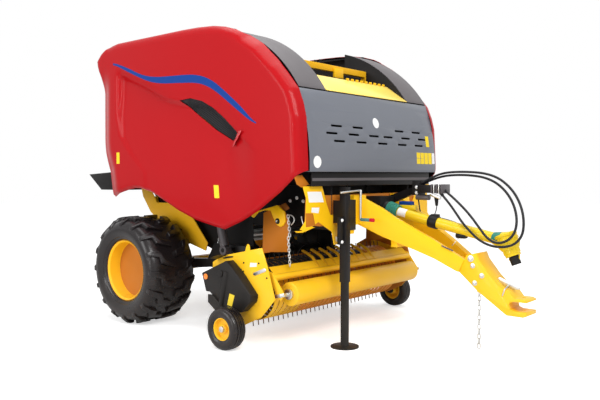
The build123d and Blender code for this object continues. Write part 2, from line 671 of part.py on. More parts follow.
# Hitch: a forged tongue with a clevis that takes the tractor's drawbar
HITCH_SIDE = ((-3011, 671), (-3074, 812), (-3161, 838), (-3186, 782), (-3284, 662), (-3372, 580), (-3438, 560),
              (-3485, 502), (-3560, 502), (-3585, 490), (-3585, 478), (-3480, 478), (-3448, 468), (-3440, 445),
              (-3448, 415), (-3480, 402), (-3585, 402), (-3585, 372), (-3560, 362), (-3425, 362), (-3180, 526))
CHAIN_BACK = -3145
CHAIN_EYE_Z = 520
CHAIN_EYE_R = 9
EYE_THICK = 6
CHAIN_EYE = ((-3170, 560), (-3165, 505), (-3155, 499), (-3135, 499), (-3125, 505), (-3120, 590))
NOSE_CUT = ((-2990, 600), (-3011, 671), (-3074, 812), (-3100, 900), (-3200, 900), (-3200, 600))
TONGUE = ((-2940, 700), (-2960, 790), (-3113, 720), (-3113, 620))
with BuildPart() as hitch:
    add(side_plate(HITCH_SIDE, -HITCH_HALF, 2 * HITCH_HALF, 1))
    add(side_plate(TONGUE, -TONGUE_HALF, 2 * TONGUE_HALF, 1))
    with BuildSketch(Plane.XY.offset(300)):
        with Locations((0, AXLE_Y + HITCH_PIN_BACK)):
            Circle(HITCH_PIN_R)
    extrude(amount=300, mode=Mode.SUBTRACT)
    add(side_plate(CHAIN_EYE, -EYE_THICK / 2, EYE_THICK, 1))
    with BuildSketch(Plane.YZ.offset(-EYE_THICK / 2)):
        with Locations(spot((CHAIN_BACK, CHAIN_EYE_Z))):
            Circle(CHAIN_EYE_R)
    extrude(amount=EYE_THICK, mode=Mode.SUBTRACT)
save(hitch.part, "hitch")

with BuildPart() as drawbar:
    add([drawbar_beam(-1), drawbar_beam(1)])
    add(block((-250, -2500, 850), (250, -2440, 960)))
    add(block((-450, -2190, 1041), (-270, FRONT_FACE, 1297)))
    add(block((270, -2190, 1041), (450, FRONT_FACE, 1297)))
    add(side_plate(NOSE_CUT, -BEAM_ROOT[0], 2 * BEAM_ROOT[0], 1), mode=Mode.SUBTRACT)
    add(hitch.part, mode=Mode.SUBTRACT)
save(drawbar.part, "drawbar")

# Jack: square tube bolted beside the drawbar, with its leg, foot and crank
JACK_TOP = 1370
JACK_BOTTOM = 560
JACK_LID = 20
LEG_TOP = JACK_TOP - JACK_LID - JACK_TRAVEL - 50
half = JACK_TUBE / 2
with BuildPart() as jack_tube:
    add(block((JACK_X - half, JACK_BACK - half, JACK_BOTTOM), (JACK_X + half, JACK_BACK + half, JACK_TOP)))
    inner = half - JACK_WALL
    add(block((JACK_X - inner, JACK_BACK - inner, JACK_BOTTOM), (JACK_X + inner, JACK_BACK + inner, JACK_TOP - JACK_LID)),
        mode=Mode.SUBTRACT)
    add(block((JACK_X + half, JACK_BACK - 20, 1000), (-450, JACK_BACK + 20, 1260)))
    add(block((JACK_X - half, JACK_BACK + half, 1060), (JACK_X + half, FRONT_FACE, 1260)))
save(jack_tube.part, "jack_tube")

with BuildPart() as jack_leg:
    leg = JACK_LEG / 2
    shoe = half - JACK_WALL - SEAT
    add(block((JACK_X - leg, JACK_BACK - leg, 12), (JACK_X + leg, JACK_BACK + leg, LEG_TOP)))
    add(block((JACK_X - shoe, JACK_BACK - shoe, LEG_TOP - 60), (JACK_X + shoe, JACK_BACK + shoe, LEG_TOP)))
    with BuildSketch(Plane.XY):
        with Locations((JACK_X, AXLE_Y + JACK_BACK)):
            Circle(JACK_FOOT_R)
    extrude(amount=12)
save(jack_leg.part, "jack_leg")

CRANK_BACK = JACK_BACK - 40
with BuildPart() as jack_crank:
    add(block((JACK_X + half, CRANK_BACK - 10, 1330), (-400, CRANK_BACK + 10, 1350)))
    add(block((-420, CRANK_BACK - 10, 1075), (-400, CRANK_BACK + 10, 1330)))
    add(block((-422, CRANK_BACK - 140, 1075), (-398, CRANK_BACK + 10, 1099)))
save(jack_crank.part, "jack_crank")

# Hydraulic hoses: they leave the rack, loop round the end of the driveline and park in the rack again.
# Each point is (across, back from the axle, height), chosen by hand.
HOSE_R = 10
GLAND_LONG = 46
HOSES = (
    ("hose_outer", ((100, -2552, 1410), (100, -2636, 1452), (95, -2740, 1488), (80, -2861, 1500), (60, -3011, 1500),
                    (30, -3170, 1488), (0, -3297, 1452), (-30, -3395, 1392), (-58, -3475, 1315), (-82, -3535, 1210),
                    (-100, -3560, 1100), (-112, -3552, 1000), (-122, -3492, 928), (-128, -3395, 902),
                    (-124, -3290, 908), (-108, -3190, 945), (-84, -3105, 1003), (-55, -3016, 1073),
                    (-20, -2936, 1152), (16, -2852, 1232), (48, -2772, 1296))),
    ("hose_inner", ((135, -2552, 1406), (134, -2636, 1438), (124, -2740, 1464), (104, -2861, 1474), (78, -3005, 1472),
                    (44, -3150, 1456), (8, -3268, 1418), (-26, -3362, 1358), (-58, -3436, 1282), (-90, -3488, 1192),
                    (-120, -3512, 1098), (-146, -3500, 1010), (-160, -3440, 950), (-162, -3355, 934),
                    (-150, -3275, 972), (-124, -3200, 1046), (-92, -3120, 1122), (-56, -3040, 1185),
                    (-10, -2950, 1242), (48, -2854, 1294), (94, -2772, 1334))),
)
# Hose rack: an arm on the cross tube with a clamp block and a bar of couplers, and a ferrule at each hose end
with BuildPart() as hose_rack:
    add(side_plate(((-2074, 1160), (-2074, 1250), (-2454, 1370), (-2454, 1310)), 118, 45, 1))
    add(block((70, -2530, 1293), (170, -2454, 1422)))
    add(block((30, -2740, 1316), (180, -2530, 1385)))
    for name, route in HOSES:
        for end, inward in ((route[0], route[1]), (route[-1], route[-2])):
            tip = Vector(end[0], AXLE_Y + end[1], end[2])
            run = tip - Vector(inward[0], AXLE_Y + inward[1], inward[2])
            with BuildSketch(Plane(tip, z_dir=run)):
                Circle(HOSE_R + 4)
            extrude(amount=GLAND_LONG)
save(hose_rack.part, "hose_rack")

# Safety chain: square-section links, alternately turned, down to the floor
LINK_LONG = 54
LINK_WIDE = 30
LINK_WIRE = 7
LINK_PITCH = LINK_LONG - 2 * LINK_WIRE - SEAT
LINK_RISE = 1.6
CHAIN_TOP = CHAIN_EYE_Z - CHAIN_EYE_R + LINK_WIRE + LINK_RISE
CHAIN_LINKS = 12
with BuildPart() as safety_chain:
    for number in range(CHAIN_LINKS):
        up = CHAIN_TOP - LINK_LONG / 2 - number * LINK_PITCH
        across = Plane((0, AXLE_Y + CHAIN_BACK, up), x_dir=(0, 0, 1), z_dir=(1, 0, 0))
        along = Plane((0, AXLE_Y + CHAIN_BACK, up), x_dir=(0, 0, 1), z_dir=(0, 1, 0))
        with BuildSketch(across if number % 2 else along):
            SlotOverall(LINK_LONG, LINK_WIDE)
            SlotOverall(LINK_LONG - 2 * LINK_WIRE, LINK_WIDE - 2 * LINK_WIRE, mode=Mode.SUBTRACT)
        extrude(amount=LINK_WIRE / 2, both=True)
save(safety_chain.part, "safety_chain")

# Pickup frame: side plates, pivot arms, cross bars and crop guides
PICKUP_SIDE = ((-1099, 691), (-1218, 755), (-1512, 818), (-1522, 856), (-1534, 878), (-1548, 882), (-1560, 872),
               (-1568, 830), (-1710, 860), (-1775, 700), (-1858, 438), (-1700, 270), (-1504, 178), (-1344, 265),
               (-1100, 270), (-1090, 420))
PICKUP_ARM = ((-870, 620), (-870, 700), (-960, 716), (-1096, 440), (-1130, 350), (-1090, 325), (-1060, 350))
GUIDE = ((-1434, 780), (-1448, 1132), (-1643, 1210), (-1713, 1142), (-1748, 1065), (-1747, 803))
REAR_TUBE = (-1120, 330)
TOP_BAR = (-1190, 662)
REAR_TUBE_R = 30
TOP_BAR_R = 16
pickup_bits = [cross_bar(REAR_TUBE, REAR_TUBE_R, PICKUP_HALF - SHEET),
               cross_bar(TOP_BAR, TOP_BAR_R, PICKUP_HALF - SHEET)]
for side in (-1, 1):
    pickup_bits.append(side_plate(PICKUP_SIDE, PICKUP_HALF - SHEET, SHEET, side))
    pickup_bits.append(side_plate(GUIDE, 800, SHEET, side))
    low = sorted((side * 800, side * PICKUP_HALF))
    pickup_bits.append(block((low[0], -1530, 784), (low[1], -1434, 790)))
with BuildPart() as pickup_frame:
    add(pickup_bits)
    for side in (-1, 1):
        add(side_plate(PICKUP_ARM, GATE_IN, PLATE, side))
    for side in (-1, 1):
        with BuildSketch(Plane.YZ.offset(side * GATE_IN)):
            with Locations(spot(ROTOR)):
                Circle(ROTOR_STUB_R + PIN_CLEAR)
        extrude(amount=side * PLATE, mode=Mode.SUBTRACT)
save(pickup_frame.part, "pickup_frame")


def tangent_point(target, outward):
    """Where a straight run from target touches the bands' circle, on the given side."""
    back = target[0] - REEL[0]
    up = target[1] - REEL[1]
    turn = math.atan2(up, back) + outward * math.acos(BAND_R / math.hypot(back, up))
    return (REEL[0] + BAND_R * math.cos(turn), REEL[1] + BAND_R * math.sin(turn))


def short_of(touch, bar, radius):
    """Where a band's straight run meets the surface of the bar that holds it."""
    run = math.hypot(touch[0] - bar[0], touch[1] - bar[1])
    share = (radius + SEAT) / run
    return (bar[0] + share * (touch[0] - bar[0]), bar[1] + share * (touch[1] - bar[1]))


LOW_TOUCH = tangent_point(REAR_TUBE, -1)
HIGH_TOUCH = tangent_point(TOP_BAR, 1)
LOW_END = short_of(LOW_TOUCH, REAR_TUBE, REAR_TUBE_R)
HIGH_END = short_of(HIGH_TOUCH, TOP_BAR, TOP_BAR_R)
with BuildPart() as pickup_bands:
    first = -TINE_PITCH * (BAND_COUNT - 1) / 2
    for number in range(BAND_COUNT):
        with BuildSketch(Plane.YZ.offset(first + number * TINE_PITCH - BAND_WIDE / 2)):
            with BuildLine():
                Line(*station((LOW_END, LOW_TOUCH)))
                ThreePointArc(*station((LOW_TOUCH, (REEL[0] - BAND_R, REEL[1]), HIGH_TOUCH)))
                Line(*station((HIGH_TOUCH, HIGH_END)))
            trace(line_width=3)
        extrude(amount=BAND_WIDE)
save(pickup_bands.part, "pickup_bands")

# Pickup reel: centre tube, spiders, tine bars and spring tines between the bands
with BuildPart() as tine:
    with BuildSketch(Plane.YZ):
        with BuildLine():
            Polyline((0, TINE_BAR_R), (-18, TINE_BAR_R + 80), (-6, TINE_TIP_R), (0, TINE_TIP_R - 2),
                     (-10, TINE_BAR_R + 80), (8, TINE_BAR_R), close=True)
        make_face()
    extrude(amount=3.5, both=True)

with BuildPart() as tine_row:
    with BuildSketch(Plane.YZ.offset(-REEL_HALF)):
        with Locations((0, TINE_BAR_R)):
            RegularPolygon(12, 6)
    extrude(amount=2 * REEL_HALF)
    for number in range(BAND_COUNT + 1):
        with Locations((first - TINE_PITCH / 2 + number * TINE_PITCH, 0, 0)):
            add(tine.part)

tine_rows = [tine_row.part.rotate(Axis.X, number * 360 / TINE_ROWS) for number in range(TINE_ROWS)]
with BuildPart() as reel_core:
    with BuildSketch(Plane.YZ.offset(-(PICKUP_HALF - SHEET - SEAT))):
        Circle(40)
    extrude(amount=2 * (PICKUP_HALF - SHEET - SEAT))
    for across in (-REEL_HALF, -REEL_HALF / 3, REEL_HALF / 3, REEL_HALF):
        with BuildSketch(Plane.YZ.offset(across - 3)):
            Circle(TINE_BAR_R + 10)
        extrude(amount=6)
    add(tine_rows, mode=Mode.SUBTRACT)
save(Location((0, *spot(REEL))) * weldment([reel_core.part, *tine_rows]), "pickup_reel")

# Feeder rotor behind the pickup
ROTOR_STARS = 10
ROTOR_PITCH = 120
ROTOR_TWIST = 24
with BuildPart() as rotor_tooth:
    with BuildSketch(Plane.YZ):
        with BuildLine():
            Polyline((0, -60), (ROTOR_R - 40, -20), (ROTOR_R, 30), (ROTOR_R - 60, 25), (0, 60), close=True)
        make_face()
    extrude(amount=4, both=True)

with BuildPart() as feeder_rotor:
    with BuildSketch(Plane.YZ.offset(-(CHAMBER_HALF - SEAT))):
        Circle(70)
    extrude(amount=2 * (CHAMBER_HALF - SEAT))
    for number in range(ROTOR_STARS):
        across = (number - (ROTOR_STARS - 1) / 2) * ROTOR_PITCH
        for tooth in range(3):
            turn = 120 * tooth + ROTOR_TWIST * number
            add(Location((across, 0, 0)) * rotor_tooth.part.rotate(Axis.X, turn))
save(Location((0, *spot(ROTOR))) * feeder_rotor.part, "feeder_rotor")

# Pickup end covers and gauge wheel arms
COVER = ((-1054, 599), (-1367, 732), (-1441, 678), (-1526, 606), (-1669, 458), (-1659, 403), (-1549, 305),
         (-1351, 290), (-1240, 385), (-1160, 440), (-1110, 440))
GAUGE_PIVOT = (-1180, 385)
GAUGE_ARM = ((-1150, 350), (-1150, 420), (-1210, 420), (-1510, 200), (-1484, 150), (-1440, 160))
for side, name in SIDES:
    save(side_plate(COVER, PICKUP_HALF + SEAT, COVER_DEEP, side), f"pickup_cover_{name}")
    with BuildPart() as gauge_arm:
        add(side_plate(GAUGE_ARM, ARM_IN, PLATE, side))
        add(short_bar(GAUGE_PIVOT, 22, PICKUP_HALF, ARM_IN - PICKUP_HALF, side))
        add(short_bar((GAUGE_BACK, GAUGE_R), GAUGE_PIN_R, ARM_IN, GAUGE_X + 47 - ARM_IN, side))
        add(short_bar((GAUGE_BACK, GAUGE_R), 30, ARM_IN, GAUGE_X - GAUGE_HUB_IN - SEAT - ARM_IN, side))
    save(gauge_arm.part, f"gauge_arm_{name}")

# Windguard: pipe with upswept tines, arms and the crop roller
GUARD_ARM = ((-1330, 690), (-1330, 745), (-1420, 740), (-1800, 650), (-1930, 480), (-1890, 430), (-1850, 450),
             (-1770, 590), (-1420, 680))
GUARD_TINES = 8
GUARD_TINE_THICK = 20
GUARD_TINE_PATH = ((-1800, 620), (-1712, 722), (-1655, 748), (-1598, 772))
with BuildPart() as guard_tine:
    with BuildSketch(Plane.YZ):
        with BuildLine():
            Line(*station(GUARD_TINE_PATH[:2]))
            ThreePointArc(*station(GUARD_TINE_PATH[1:]))
        trace(line_width=GUARD_TINE_THICK)
        with Locations(spot(GUARD_TINE_PATH[-1])):
            Circle(GUARD_TINE_THICK / 2)
    extrude(amount=GUARD_TINE_THICK / 2, both=True)
with BuildPart() as windguard:
    add(cross_bar(GUARD_PIPE, GUARD_PIPE_R, GUARD_HALF - PLATE))
    for number in range(GUARD_TINES):
        with Locations(((number - (GUARD_TINES - 1) / 2) * 125, 0, 0)):
            add(guard_tine.part)
    for side in (-1, 1):
        add(side_plate(GUARD_ARM, GUARD_HALF - PLATE, PLATE, side))
        add(short_bar(GUARD_PIVOT, 20, GUARD_HALF, PICKUP_HALF - SHEET - SEAT - GUARD_HALF, side))
    with BuildSketch(Plane.YZ.offset(-(GUARD_HALF - PLATE))):
        with Locations(spot(GUARD_ROLLER)):
            Circle(15 + PIN_CLEAR)
    extrude(amount=2 * (GUARD_HALF - PLATE), mode=Mode.SUBTRACT)
save(windguard.part, "windguard")

with BuildPart() as guard_roller:
    add(cross_bar(GUARD_ROLLER, GUARD_ROLLER_R, GUARD_ROLLER_HALF))
    add(cross_bar(GUARD_ROLLER, 15, GUARD_HALF - PLATE - SEAT))
save(guard_roller.part, "guard_roller")

# Tailgate cylinders: barrels pinned to the side beams, rods that reach the tailgate
RAM_LONG = math.hypot(RAM_HEAD[0] - RAM_FOOT[0], RAM_HEAD[1] - RAM_FOOT[1])
RAM_TURN = math.atan2(RAM_HEAD[1] - RAM_FOOT[1], RAM_HEAD[0] - RAM_FOOT[0])


def ram_plane(side, run):
    """Plane square to a tailgate cylinder, run millimetres above its foot."""
    back = RAM_FOOT[0] + run * math.cos(RAM_TURN)
    up = RAM_FOOT[1] + run * math.sin(RAM_TURN)
    middle = side * (RAM_X + RAM_R)
    return Plane((middle, *spot((back, up))), x_dir=(1, 0, 0), z_dir=(0, math.cos(RAM_TURN), math.sin(RAM_TURN)))


for side, name in SIDES:
    with BuildPart() as barrel:
        with BuildSketch(ram_plane(side, 40)):
            Circle(RAM_R)
        extrude(amount=RAM_TUBE - 40)
        with BuildSketch(ram_plane(side, 80)):
            Circle(RAM_ROD_R + PIN_CLEAR)
        extrude(amount=RAM_TUBE, mode=Mode.SUBTRACT)
        add(short_bar(RAM_FOOT, 45, RAM_X + 5, 2 * RAM_R - 10, side))
        with BuildSketch(Plane.YZ.offset(side * RAM_X)):
            with Locations(spot(RAM_FOOT)):
                Circle(RAM_PIN_R + PIN_CLEAR)
        extrude(amount=side * 2 * RAM_R, mode=Mode.SUBTRACT)
    save(barrel.part, f"ram_barrel_{name}")
    with BuildPart() as rod:
        with BuildSketch(ram_plane(side, 100)):
            Circle(RAM_ROD_R)
        extrude(amount=RAM_LONG - 100)
        add(short_bar(RAM_HEAD, 38, RAM_X, 2 * RAM_R, side))
    save(rod.part, f"ram_rod_{name}")

# The hoses themselves, swept along their rounded routes
for name, route in HOSES:
    points = [Vector(across, AXLE_Y + back, up) for across, back, up in route]
    radii = []
    for before, here, after in zip(points, points[1:], points[2:]):
        half_turn = math.radians((here - before).get_angle(after - here)) / 2
        radii.append(0.45 * min((here - before).length, (after - here).length) / math.tan(half_turn))
    with BuildPart() as hose:
        with BuildLine():
            path = FilletPolyline(*points, radius=radii)
        with BuildSketch(Plane(points[0], z_dir=points[1] - points[0])):
            Circle(HOSE_R)
        sweep(path=path)
    save(hose.part, name)
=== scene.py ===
import json
import math

import bpy
from mathutils import Matrix, Vector

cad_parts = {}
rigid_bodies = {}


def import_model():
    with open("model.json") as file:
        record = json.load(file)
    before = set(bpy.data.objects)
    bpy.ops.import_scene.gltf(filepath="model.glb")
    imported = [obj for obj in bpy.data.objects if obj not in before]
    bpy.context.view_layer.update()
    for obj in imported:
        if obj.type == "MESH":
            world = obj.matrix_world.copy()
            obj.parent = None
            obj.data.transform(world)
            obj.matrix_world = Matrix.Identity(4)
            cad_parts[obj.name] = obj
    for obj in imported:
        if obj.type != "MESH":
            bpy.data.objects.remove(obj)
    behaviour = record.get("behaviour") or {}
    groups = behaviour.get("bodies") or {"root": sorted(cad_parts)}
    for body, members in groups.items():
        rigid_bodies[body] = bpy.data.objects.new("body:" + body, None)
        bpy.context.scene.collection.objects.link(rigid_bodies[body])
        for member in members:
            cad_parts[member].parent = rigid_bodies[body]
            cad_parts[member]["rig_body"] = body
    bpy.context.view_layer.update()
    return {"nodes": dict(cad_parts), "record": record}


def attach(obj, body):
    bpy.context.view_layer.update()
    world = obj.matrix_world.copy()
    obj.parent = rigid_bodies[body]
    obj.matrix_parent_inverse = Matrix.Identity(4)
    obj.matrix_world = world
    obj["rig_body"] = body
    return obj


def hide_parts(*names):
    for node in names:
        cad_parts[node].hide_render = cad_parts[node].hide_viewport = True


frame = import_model()

# Trailed round baler, in metres. The machine faces -Y, its left side is +X and the floor is Z = 0.
# Outlines are (back from the axle, height) pairs, as in the solids.
AXLE_Y = 1.1875
SIDES = ((-1, "right"), (1, "left"))


def at(across, back, up):
    """A point given across the machine, back from the axle and up from the floor."""
    return Vector((across, AXLE_Y + back, up))


def flank(outline, across):
    """The points of a (back, up) outline in a side plane."""
    return [at(across, back, up) for back, up in outline]


def facing(outline, back):
    """The points of an (across, up) outline in a plane across the machine."""
    return [at(across, back, up) for across, up in outline]


def smooth(value):
    """A soft step from 0 to 1."""
    value = min(max(value, 0.0), 1.0)
    return value * value * (3 - 2 * value)


def along(points, x):
    """Straight-line reading of a table of (x, y) pairs that rises in x."""
    for (x0, y0), (x1, y1) in zip(points, points[1:]):
        if x <= x1:
            return y0 + (y1 - y0) * max(x - x0, 0.0) / (x1 - x0)
    return points[-1][1]


# Shader nodes
def set_socket(tree, socket, value):
    """Link another node's output to an input, or set the input to a plain value."""
    if isinstance(value, bpy.types.NodeSocket):
        tree.links.new(value, socket)
    else:
        socket.default_value = value


def feed(tree, node, **inputs):
    """Set a node's inputs by their labels, which have underscores for spaces."""
    for label, value in inputs.items():
        set_socket(tree, node.inputs[label.replace("_", " ")], value)
    return node


def add(tree, kind, **inputs):
    """A new shader node with its inputs fed."""
    return feed(tree, tree.nodes.new(f"ShaderNode{kind}"), **inputs)


def compute(tree, operation, *values):
    """The output of a maths node whose inputs are outputs of other nodes or plain numbers."""
    node = add(tree, "Math")
    node.operation = operation
    for socket, value in zip(node.inputs, values):
        set_socket(tree, socket, value)
    return node.outputs[0]


# The paint finish that all materials share, with its inputs' defaults
PAINT_INPUTS = {
    "Colour": (0.8, 0.1, 0.1, 1), "Dust colour": (0.5, 0.42, 0.32, 1), "Tone": 0.06, "Dust": 0.1,
    "Dust height": 0.9, "Rough": 0.25, "Peel": 0.02, "Peel scale": 60.0,
}


def make_paint_group():
    """Paint that varies a little in tone, with dust low down and a fine orange peel."""
    group = bpy.data.node_groups.new("paint finish", "ShaderNodeTree")
    for label, default in PAINT_INPUTS.items():
        kind = "NodeSocketColor" if isinstance(default, tuple) else "NodeSocketFloat"
        group.interface.new_socket(label, in_out="INPUT", socket_type=kind).default_value = default
    for label, kind in (("Colour", "Color"), ("Roughness", "Float"), ("Normal", "Vector")):
        group.interface.new_socket(label, in_out="OUTPUT", socket_type=f"NodeSocket{kind}")
    given = group.nodes.new("NodeGroupInput").outputs
    result = group.nodes.new("NodeGroupOutput")
    place = add(group, "TexCoord").outputs["Object"]
    tone = add(group, "TexNoise", Scale=2.2, Detail=3, Vector=place)
    span = add(group, "MapRange", To_Min=-1, Value=tone.outputs["Fac"])
    sway = compute(group, "MULTIPLY_ADD", span.outputs["Result"], given["Tone"], 1)
    tinted = add(group, "HueSaturation", Color=given["Colour"], Value=sway)
    # Dust gathers towards the floor and in patches
    height = add(group, "SeparateXYZ", Vector=place).outputs["Z"]
    low = add(group, "MapRange", To_Min=1, To_Max=0, Value=height, From_Max=given["Dust height"])
    patches = add(group, "TexNoise", Scale=9, Detail=5, Vector=place)
    dusty = compute(group, "MULTIPLY", low.outputs["Result"], patches.outputs["Fac"])
    amount = compute(group, "MULTIPLY", dusty, given["Dust"])
    mixed = add(group, "Mix")
    mixed.data_type = "RGBA"
    feed(group, mixed, Factor=amount, A=tinted.outputs["Color"], B=given["Dust colour"])
    coarse = compute(group, "MULTIPLY_ADD", amount, 0.8, given["Rough"])
    peel = add(group, "TexNoise", Detail=2, Vector=place, Scale=given["Peel scale"])
    bump = add(group, "Bump", Distance=0.004, Strength=given["Peel"], Height=peel.outputs["Fac"])
    feed(group, result, Colour=mixed.outputs["Result"], Roughness=coarse, Normal=bump.outputs["Normal"])
    return group


PAINT = make_paint_group()
COAT_ROUGH = 0.08


def finish(name, colour, rough=0.25, metallic=0.0, coat=0.0, gloss=0.14, **paint):
    """A material whose colour, roughness and normal come from the shared paint finish."""
    material = bpy.data.materials.new(name)
    material.use_nodes = True
    tree = material.node_tree
    group = add(tree, "Group")
    group.node_tree = PAINT
    paint = {label.capitalize(): value for label, value in paint.items()}
    feed(tree, group, Colour=(*colour, 1), Rough=rough, **paint)
    feed(tree, tree.nodes["Principled BSDF"], Metallic=metallic, Coat_Weight=coat, Coat_Roughness=COAT_ROUGH,
         Specular_IOR_Level=gloss, Base_Color=group.outputs["Colour"], Roughness=group.outputs["Roughness"],
         Normal=group.outputs["Normal"])
    return material


RED = finish("red gloss paint", (0.39, 0.004, 0.007), rough=0.32, coat=0.1, gloss=0.08, tone=0.03, dust=0.03,
             peel=0.01)
# Lighter red than the door's as a painted highlight on the vent's fold, with a full clear coat
LIT_GLOSS_RED = finish("red lip paint with painted highlight", (0.52, 0.006, 0.012), rough=0.2, coat=1.0, gloss=0.5, tone=0.02, dust=0)
BROWN = finish("shaded ochre", (0.19, 0.06, 0.008), rough=0.5, tone=0.1)
PIPE = finish("steel tube paint", (0.09, 0.08, 0.085), rough=0.3, coat=0.3, tone=0.1)
TEAL = finish("teal grip", (0.1, 0.22, 0.2), rough=0.5)
SIGNAL = finish("red grip", (0.55, 0.01, 0.03), rough=0.4)
BLUE = finish("blue stripe film", (0.007, 0.045, 0.24), rough=0.3, coat=0.05, gloss=0.08, tone=0.02,
              dust=0.02)
YELLOW = finish("yellow enamel", (0.93, 0.52, 0.008), rough=0.34, coat=0.12, tone=0.05, dust=0.18, peel=0.03)
# Yellow enamel darkened to amber as painted shade, for yellow parts that lie in shade
SHADED_YELLOW = finish("shaded yellow enamel", (0.5, 0.16, 0.012), rough=0.42, tone=0.1, dust=0.15, peel=0.03)
# Yellow enamel darkened further as painted shade
DEEP_SHADED_YELLOW = finish("deep shaded yellow enamel", (0.7, 0.25, 0.01), rough=0.4, tone=0.1, dust=0.12, peel=0.03)
# Yellow enamel darkened a little as painted shade
SOFT_SHADED_YELLOW = finish("soft shaded yellow enamel", (0.76, 0.4, 0.01), rough=0.4, tone=0.08, dust=0.15, peel=0.03)
SLATE = finish("slate paint", (0.135, 0.145, 0.17), rough=0.3, coat=0.08, gloss=0.3, tone=0.04, dust=0.03)
# Yellow enamel lightened as a painted highlight, the sky's reflection on the top plate
HIGHLIGHT_YELLOW = finish("highlight yellow enamel", (0.95, 0.68, 0.13), rough=0.34, coat=0.12, tone=0.04)
WING = finish("warm grey paint", (0.115, 0.105, 0.11), rough=0.45, tone=0.04, dust=0.05)
BLACK = finish("black satin paint", (0.011, 0.01, 0.01), rough=0.4, tone=0.2, dust=0.06, peel=0.05)
STEEL = finish("zinc plated steel", (0.62, 0.62, 0.6), rough=0.32, metallic=1.0, tone=0.1, dust=0.1)
TINE = finish("spring steel", (0.16, 0.08, 0.04), rough=0.4, metallic=0.6, tone=0.2, dust=0.2)
TYRE = finish("tyre rubber", (0.005, 0.003, 0.004), rough=0.26, gloss=0.36, tone=0.25, dust=0.05,
              dust_height=1.2, peel=0.12, peel_scale=140)
RUBBER = finish("black belt rubber", (0.018, 0.018, 0.018), rough=0.7, tone=0.2, dust=0.3, peel=0.2)
HOSE = finish("hose rubber", (0.02, 0.02, 0.022), rough=0.38, tone=0.15, peel=0.06, peel_scale=400)
PLASTIC = finish("vent plastic", (0.022, 0.021, 0.023), rough=0.5, tone=0.1)
GUARD = finish("yellow guard plastic", (0.72, 0.5, 0.012), rough=0.3, coat=0.2, tone=0.06)
GREEN = finish("green guard plastic", (0.035, 0.2, 0.15), rough=0.45, tone=0.1)
LAMP = finish("red lamp lens", (0.5, 0.01, 0.01), rough=0.15, coat=1.0)
LABEL = finish("white label", (0.8, 0.8, 0.8), rough=0.5)
NOTE = finish("yellow label", (0.85, 0.62, 0.03), rough=0.5)
ORANGE = finish("orange reflector", (0.9, 0.22, 0.01), rough=0.2, coat=1.0)

SLOT_FINISH = {
    "red_paint": RED, "yellow_paint": YELLOW, "slate_paint": SLATE, "black_paint": BLACK,
    "tyre_rubber": TYRE, "belt_rubber": RUBBER, "hose_rubber": HOSE, "zinc": STEEL, "guard_yellow": GUARD,
    "guard_green": GREEN, "vent_plastic": PLASTIC, "lamp_red": LAMP,
}
# Own finishes of some nodes: the rims, cross rail and tailgate frame darkened as painted shade, the feeder
# rotor black as painted shade and the top plate lighter as a painted highlight
NODE_FINISH = {
    "fenders": WING, "pickup_reel": TINE, "rim_right": SHADED_YELLOW, "rim_left": SHADED_YELLOW, "cross_rail": SOFT_SHADED_YELLOW,
    "top_plate": HIGHLIGHT_YELLOW, "tailgate_frame": SOFT_SHADED_YELLOW, "feeder_rotor": BLACK, "ram_barrel_right": PIPE,
    "ram_barrel_left": PIPE,
}


# Modelling helpers, all with operators
def deselect():
    """Object mode with nothing selected."""
    if bpy.context.object and bpy.context.object.mode != "OBJECT":
        bpy.ops.object.mode_set(mode="OBJECT")
    bpy.ops.object.select_all(action="DESELECT")


def leave_edit():
    """Back to object mode."""
    bpy.ops.object.mode_set(mode="OBJECT")


def edit_all():
    """Edit mode with everything selected."""
    bpy.ops.object.mode_set(mode="EDIT")
    bpy.ops.mesh.select_all(action="SELECT")


def named(name):
    """The primitive just added, under its own name."""
    piece = bpy.context.object
    piece.name = name
    piece.data.name = name
    return piece


def choose(piece):
    deselect()
    piece.select_set(True)
    bpy.context.view_layer.objects.active = piece


def settle(piece):
    """Put the object's place, turn and size into its mesh."""
    choose(piece)
    bpy.ops.object.transform_apply(location=True, rotation=True, scale=True)


def modify(piece, kind, **settings):
    """Add a modifier and apply it."""
    choose(piece)
    modifier = piece.modifiers.new(kind.lower(), kind)
    for key, value in settings.items():
        setattr(modifier, key, value)
    bpy.ops.object.modifier_apply(modifier=modifier.name)


def shade(piece, degrees=40):
    """Smooth shading up to an angle."""
    choose(piece)
    bpy.ops.object.shade_smooth_by_angle(angle=math.radians(degrees))


def soften(piece, width, angle=30):
    """Rounded edges and smooth shading."""
    modify(piece, "BEVEL", width=width, segments=2, limit_method="ANGLE", angle_limit=math.radians(angle))
    shade(piece)


def recalc(piece):
    """Doubles merged and faces turned outwards."""
    choose(piece)
    edit_all()
    bpy.ops.mesh.remove_doubles(threshold=0.00002)
    bpy.ops.mesh.normals_make_consistent(inside=False)
    leave_edit()


def put_on(piece, material, body="chassis"):
    """Give a finished piece its material and body."""
    piece.data.materials.clear()
    piece.data.materials.append(material)
    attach(piece, body)
    return piece


def join(pieces, name):
    """One object from several."""
    deselect()
    for piece in pieces:
        piece.select_set(True)
    bpy.context.view_layer.objects.active = pieces[0]
    bpy.ops.object.join()
    return named(name)


def plate(name, corners, push, bevel=0.002):
    """A flat piece from its corners in space, pushed to its thickness, with rounded edges."""
    deselect()
    bpy.ops.mesh.primitive_circle_add(vertices=len(corners), radius=1, fill_type="NGON")
    piece = named(name)
    for vertex, corner in zip(piece.data.vertices, corners):
        vertex.co = corner
    edit_all()
    bpy.ops.mesh.extrude_region_move(TRANSFORM_OT_translate={"value": push})
    leave_edit()
    recalc(piece)
    if bevel:
        soften(piece, bevel)
    return piece


def side_plate(name, outline, inner_x, thick, side, bevel=0.002):
    """A plate across X, drawn in the side plane."""
    return plate(name, flank(outline, side * inner_x), (side * thick, 0, 0), bevel)


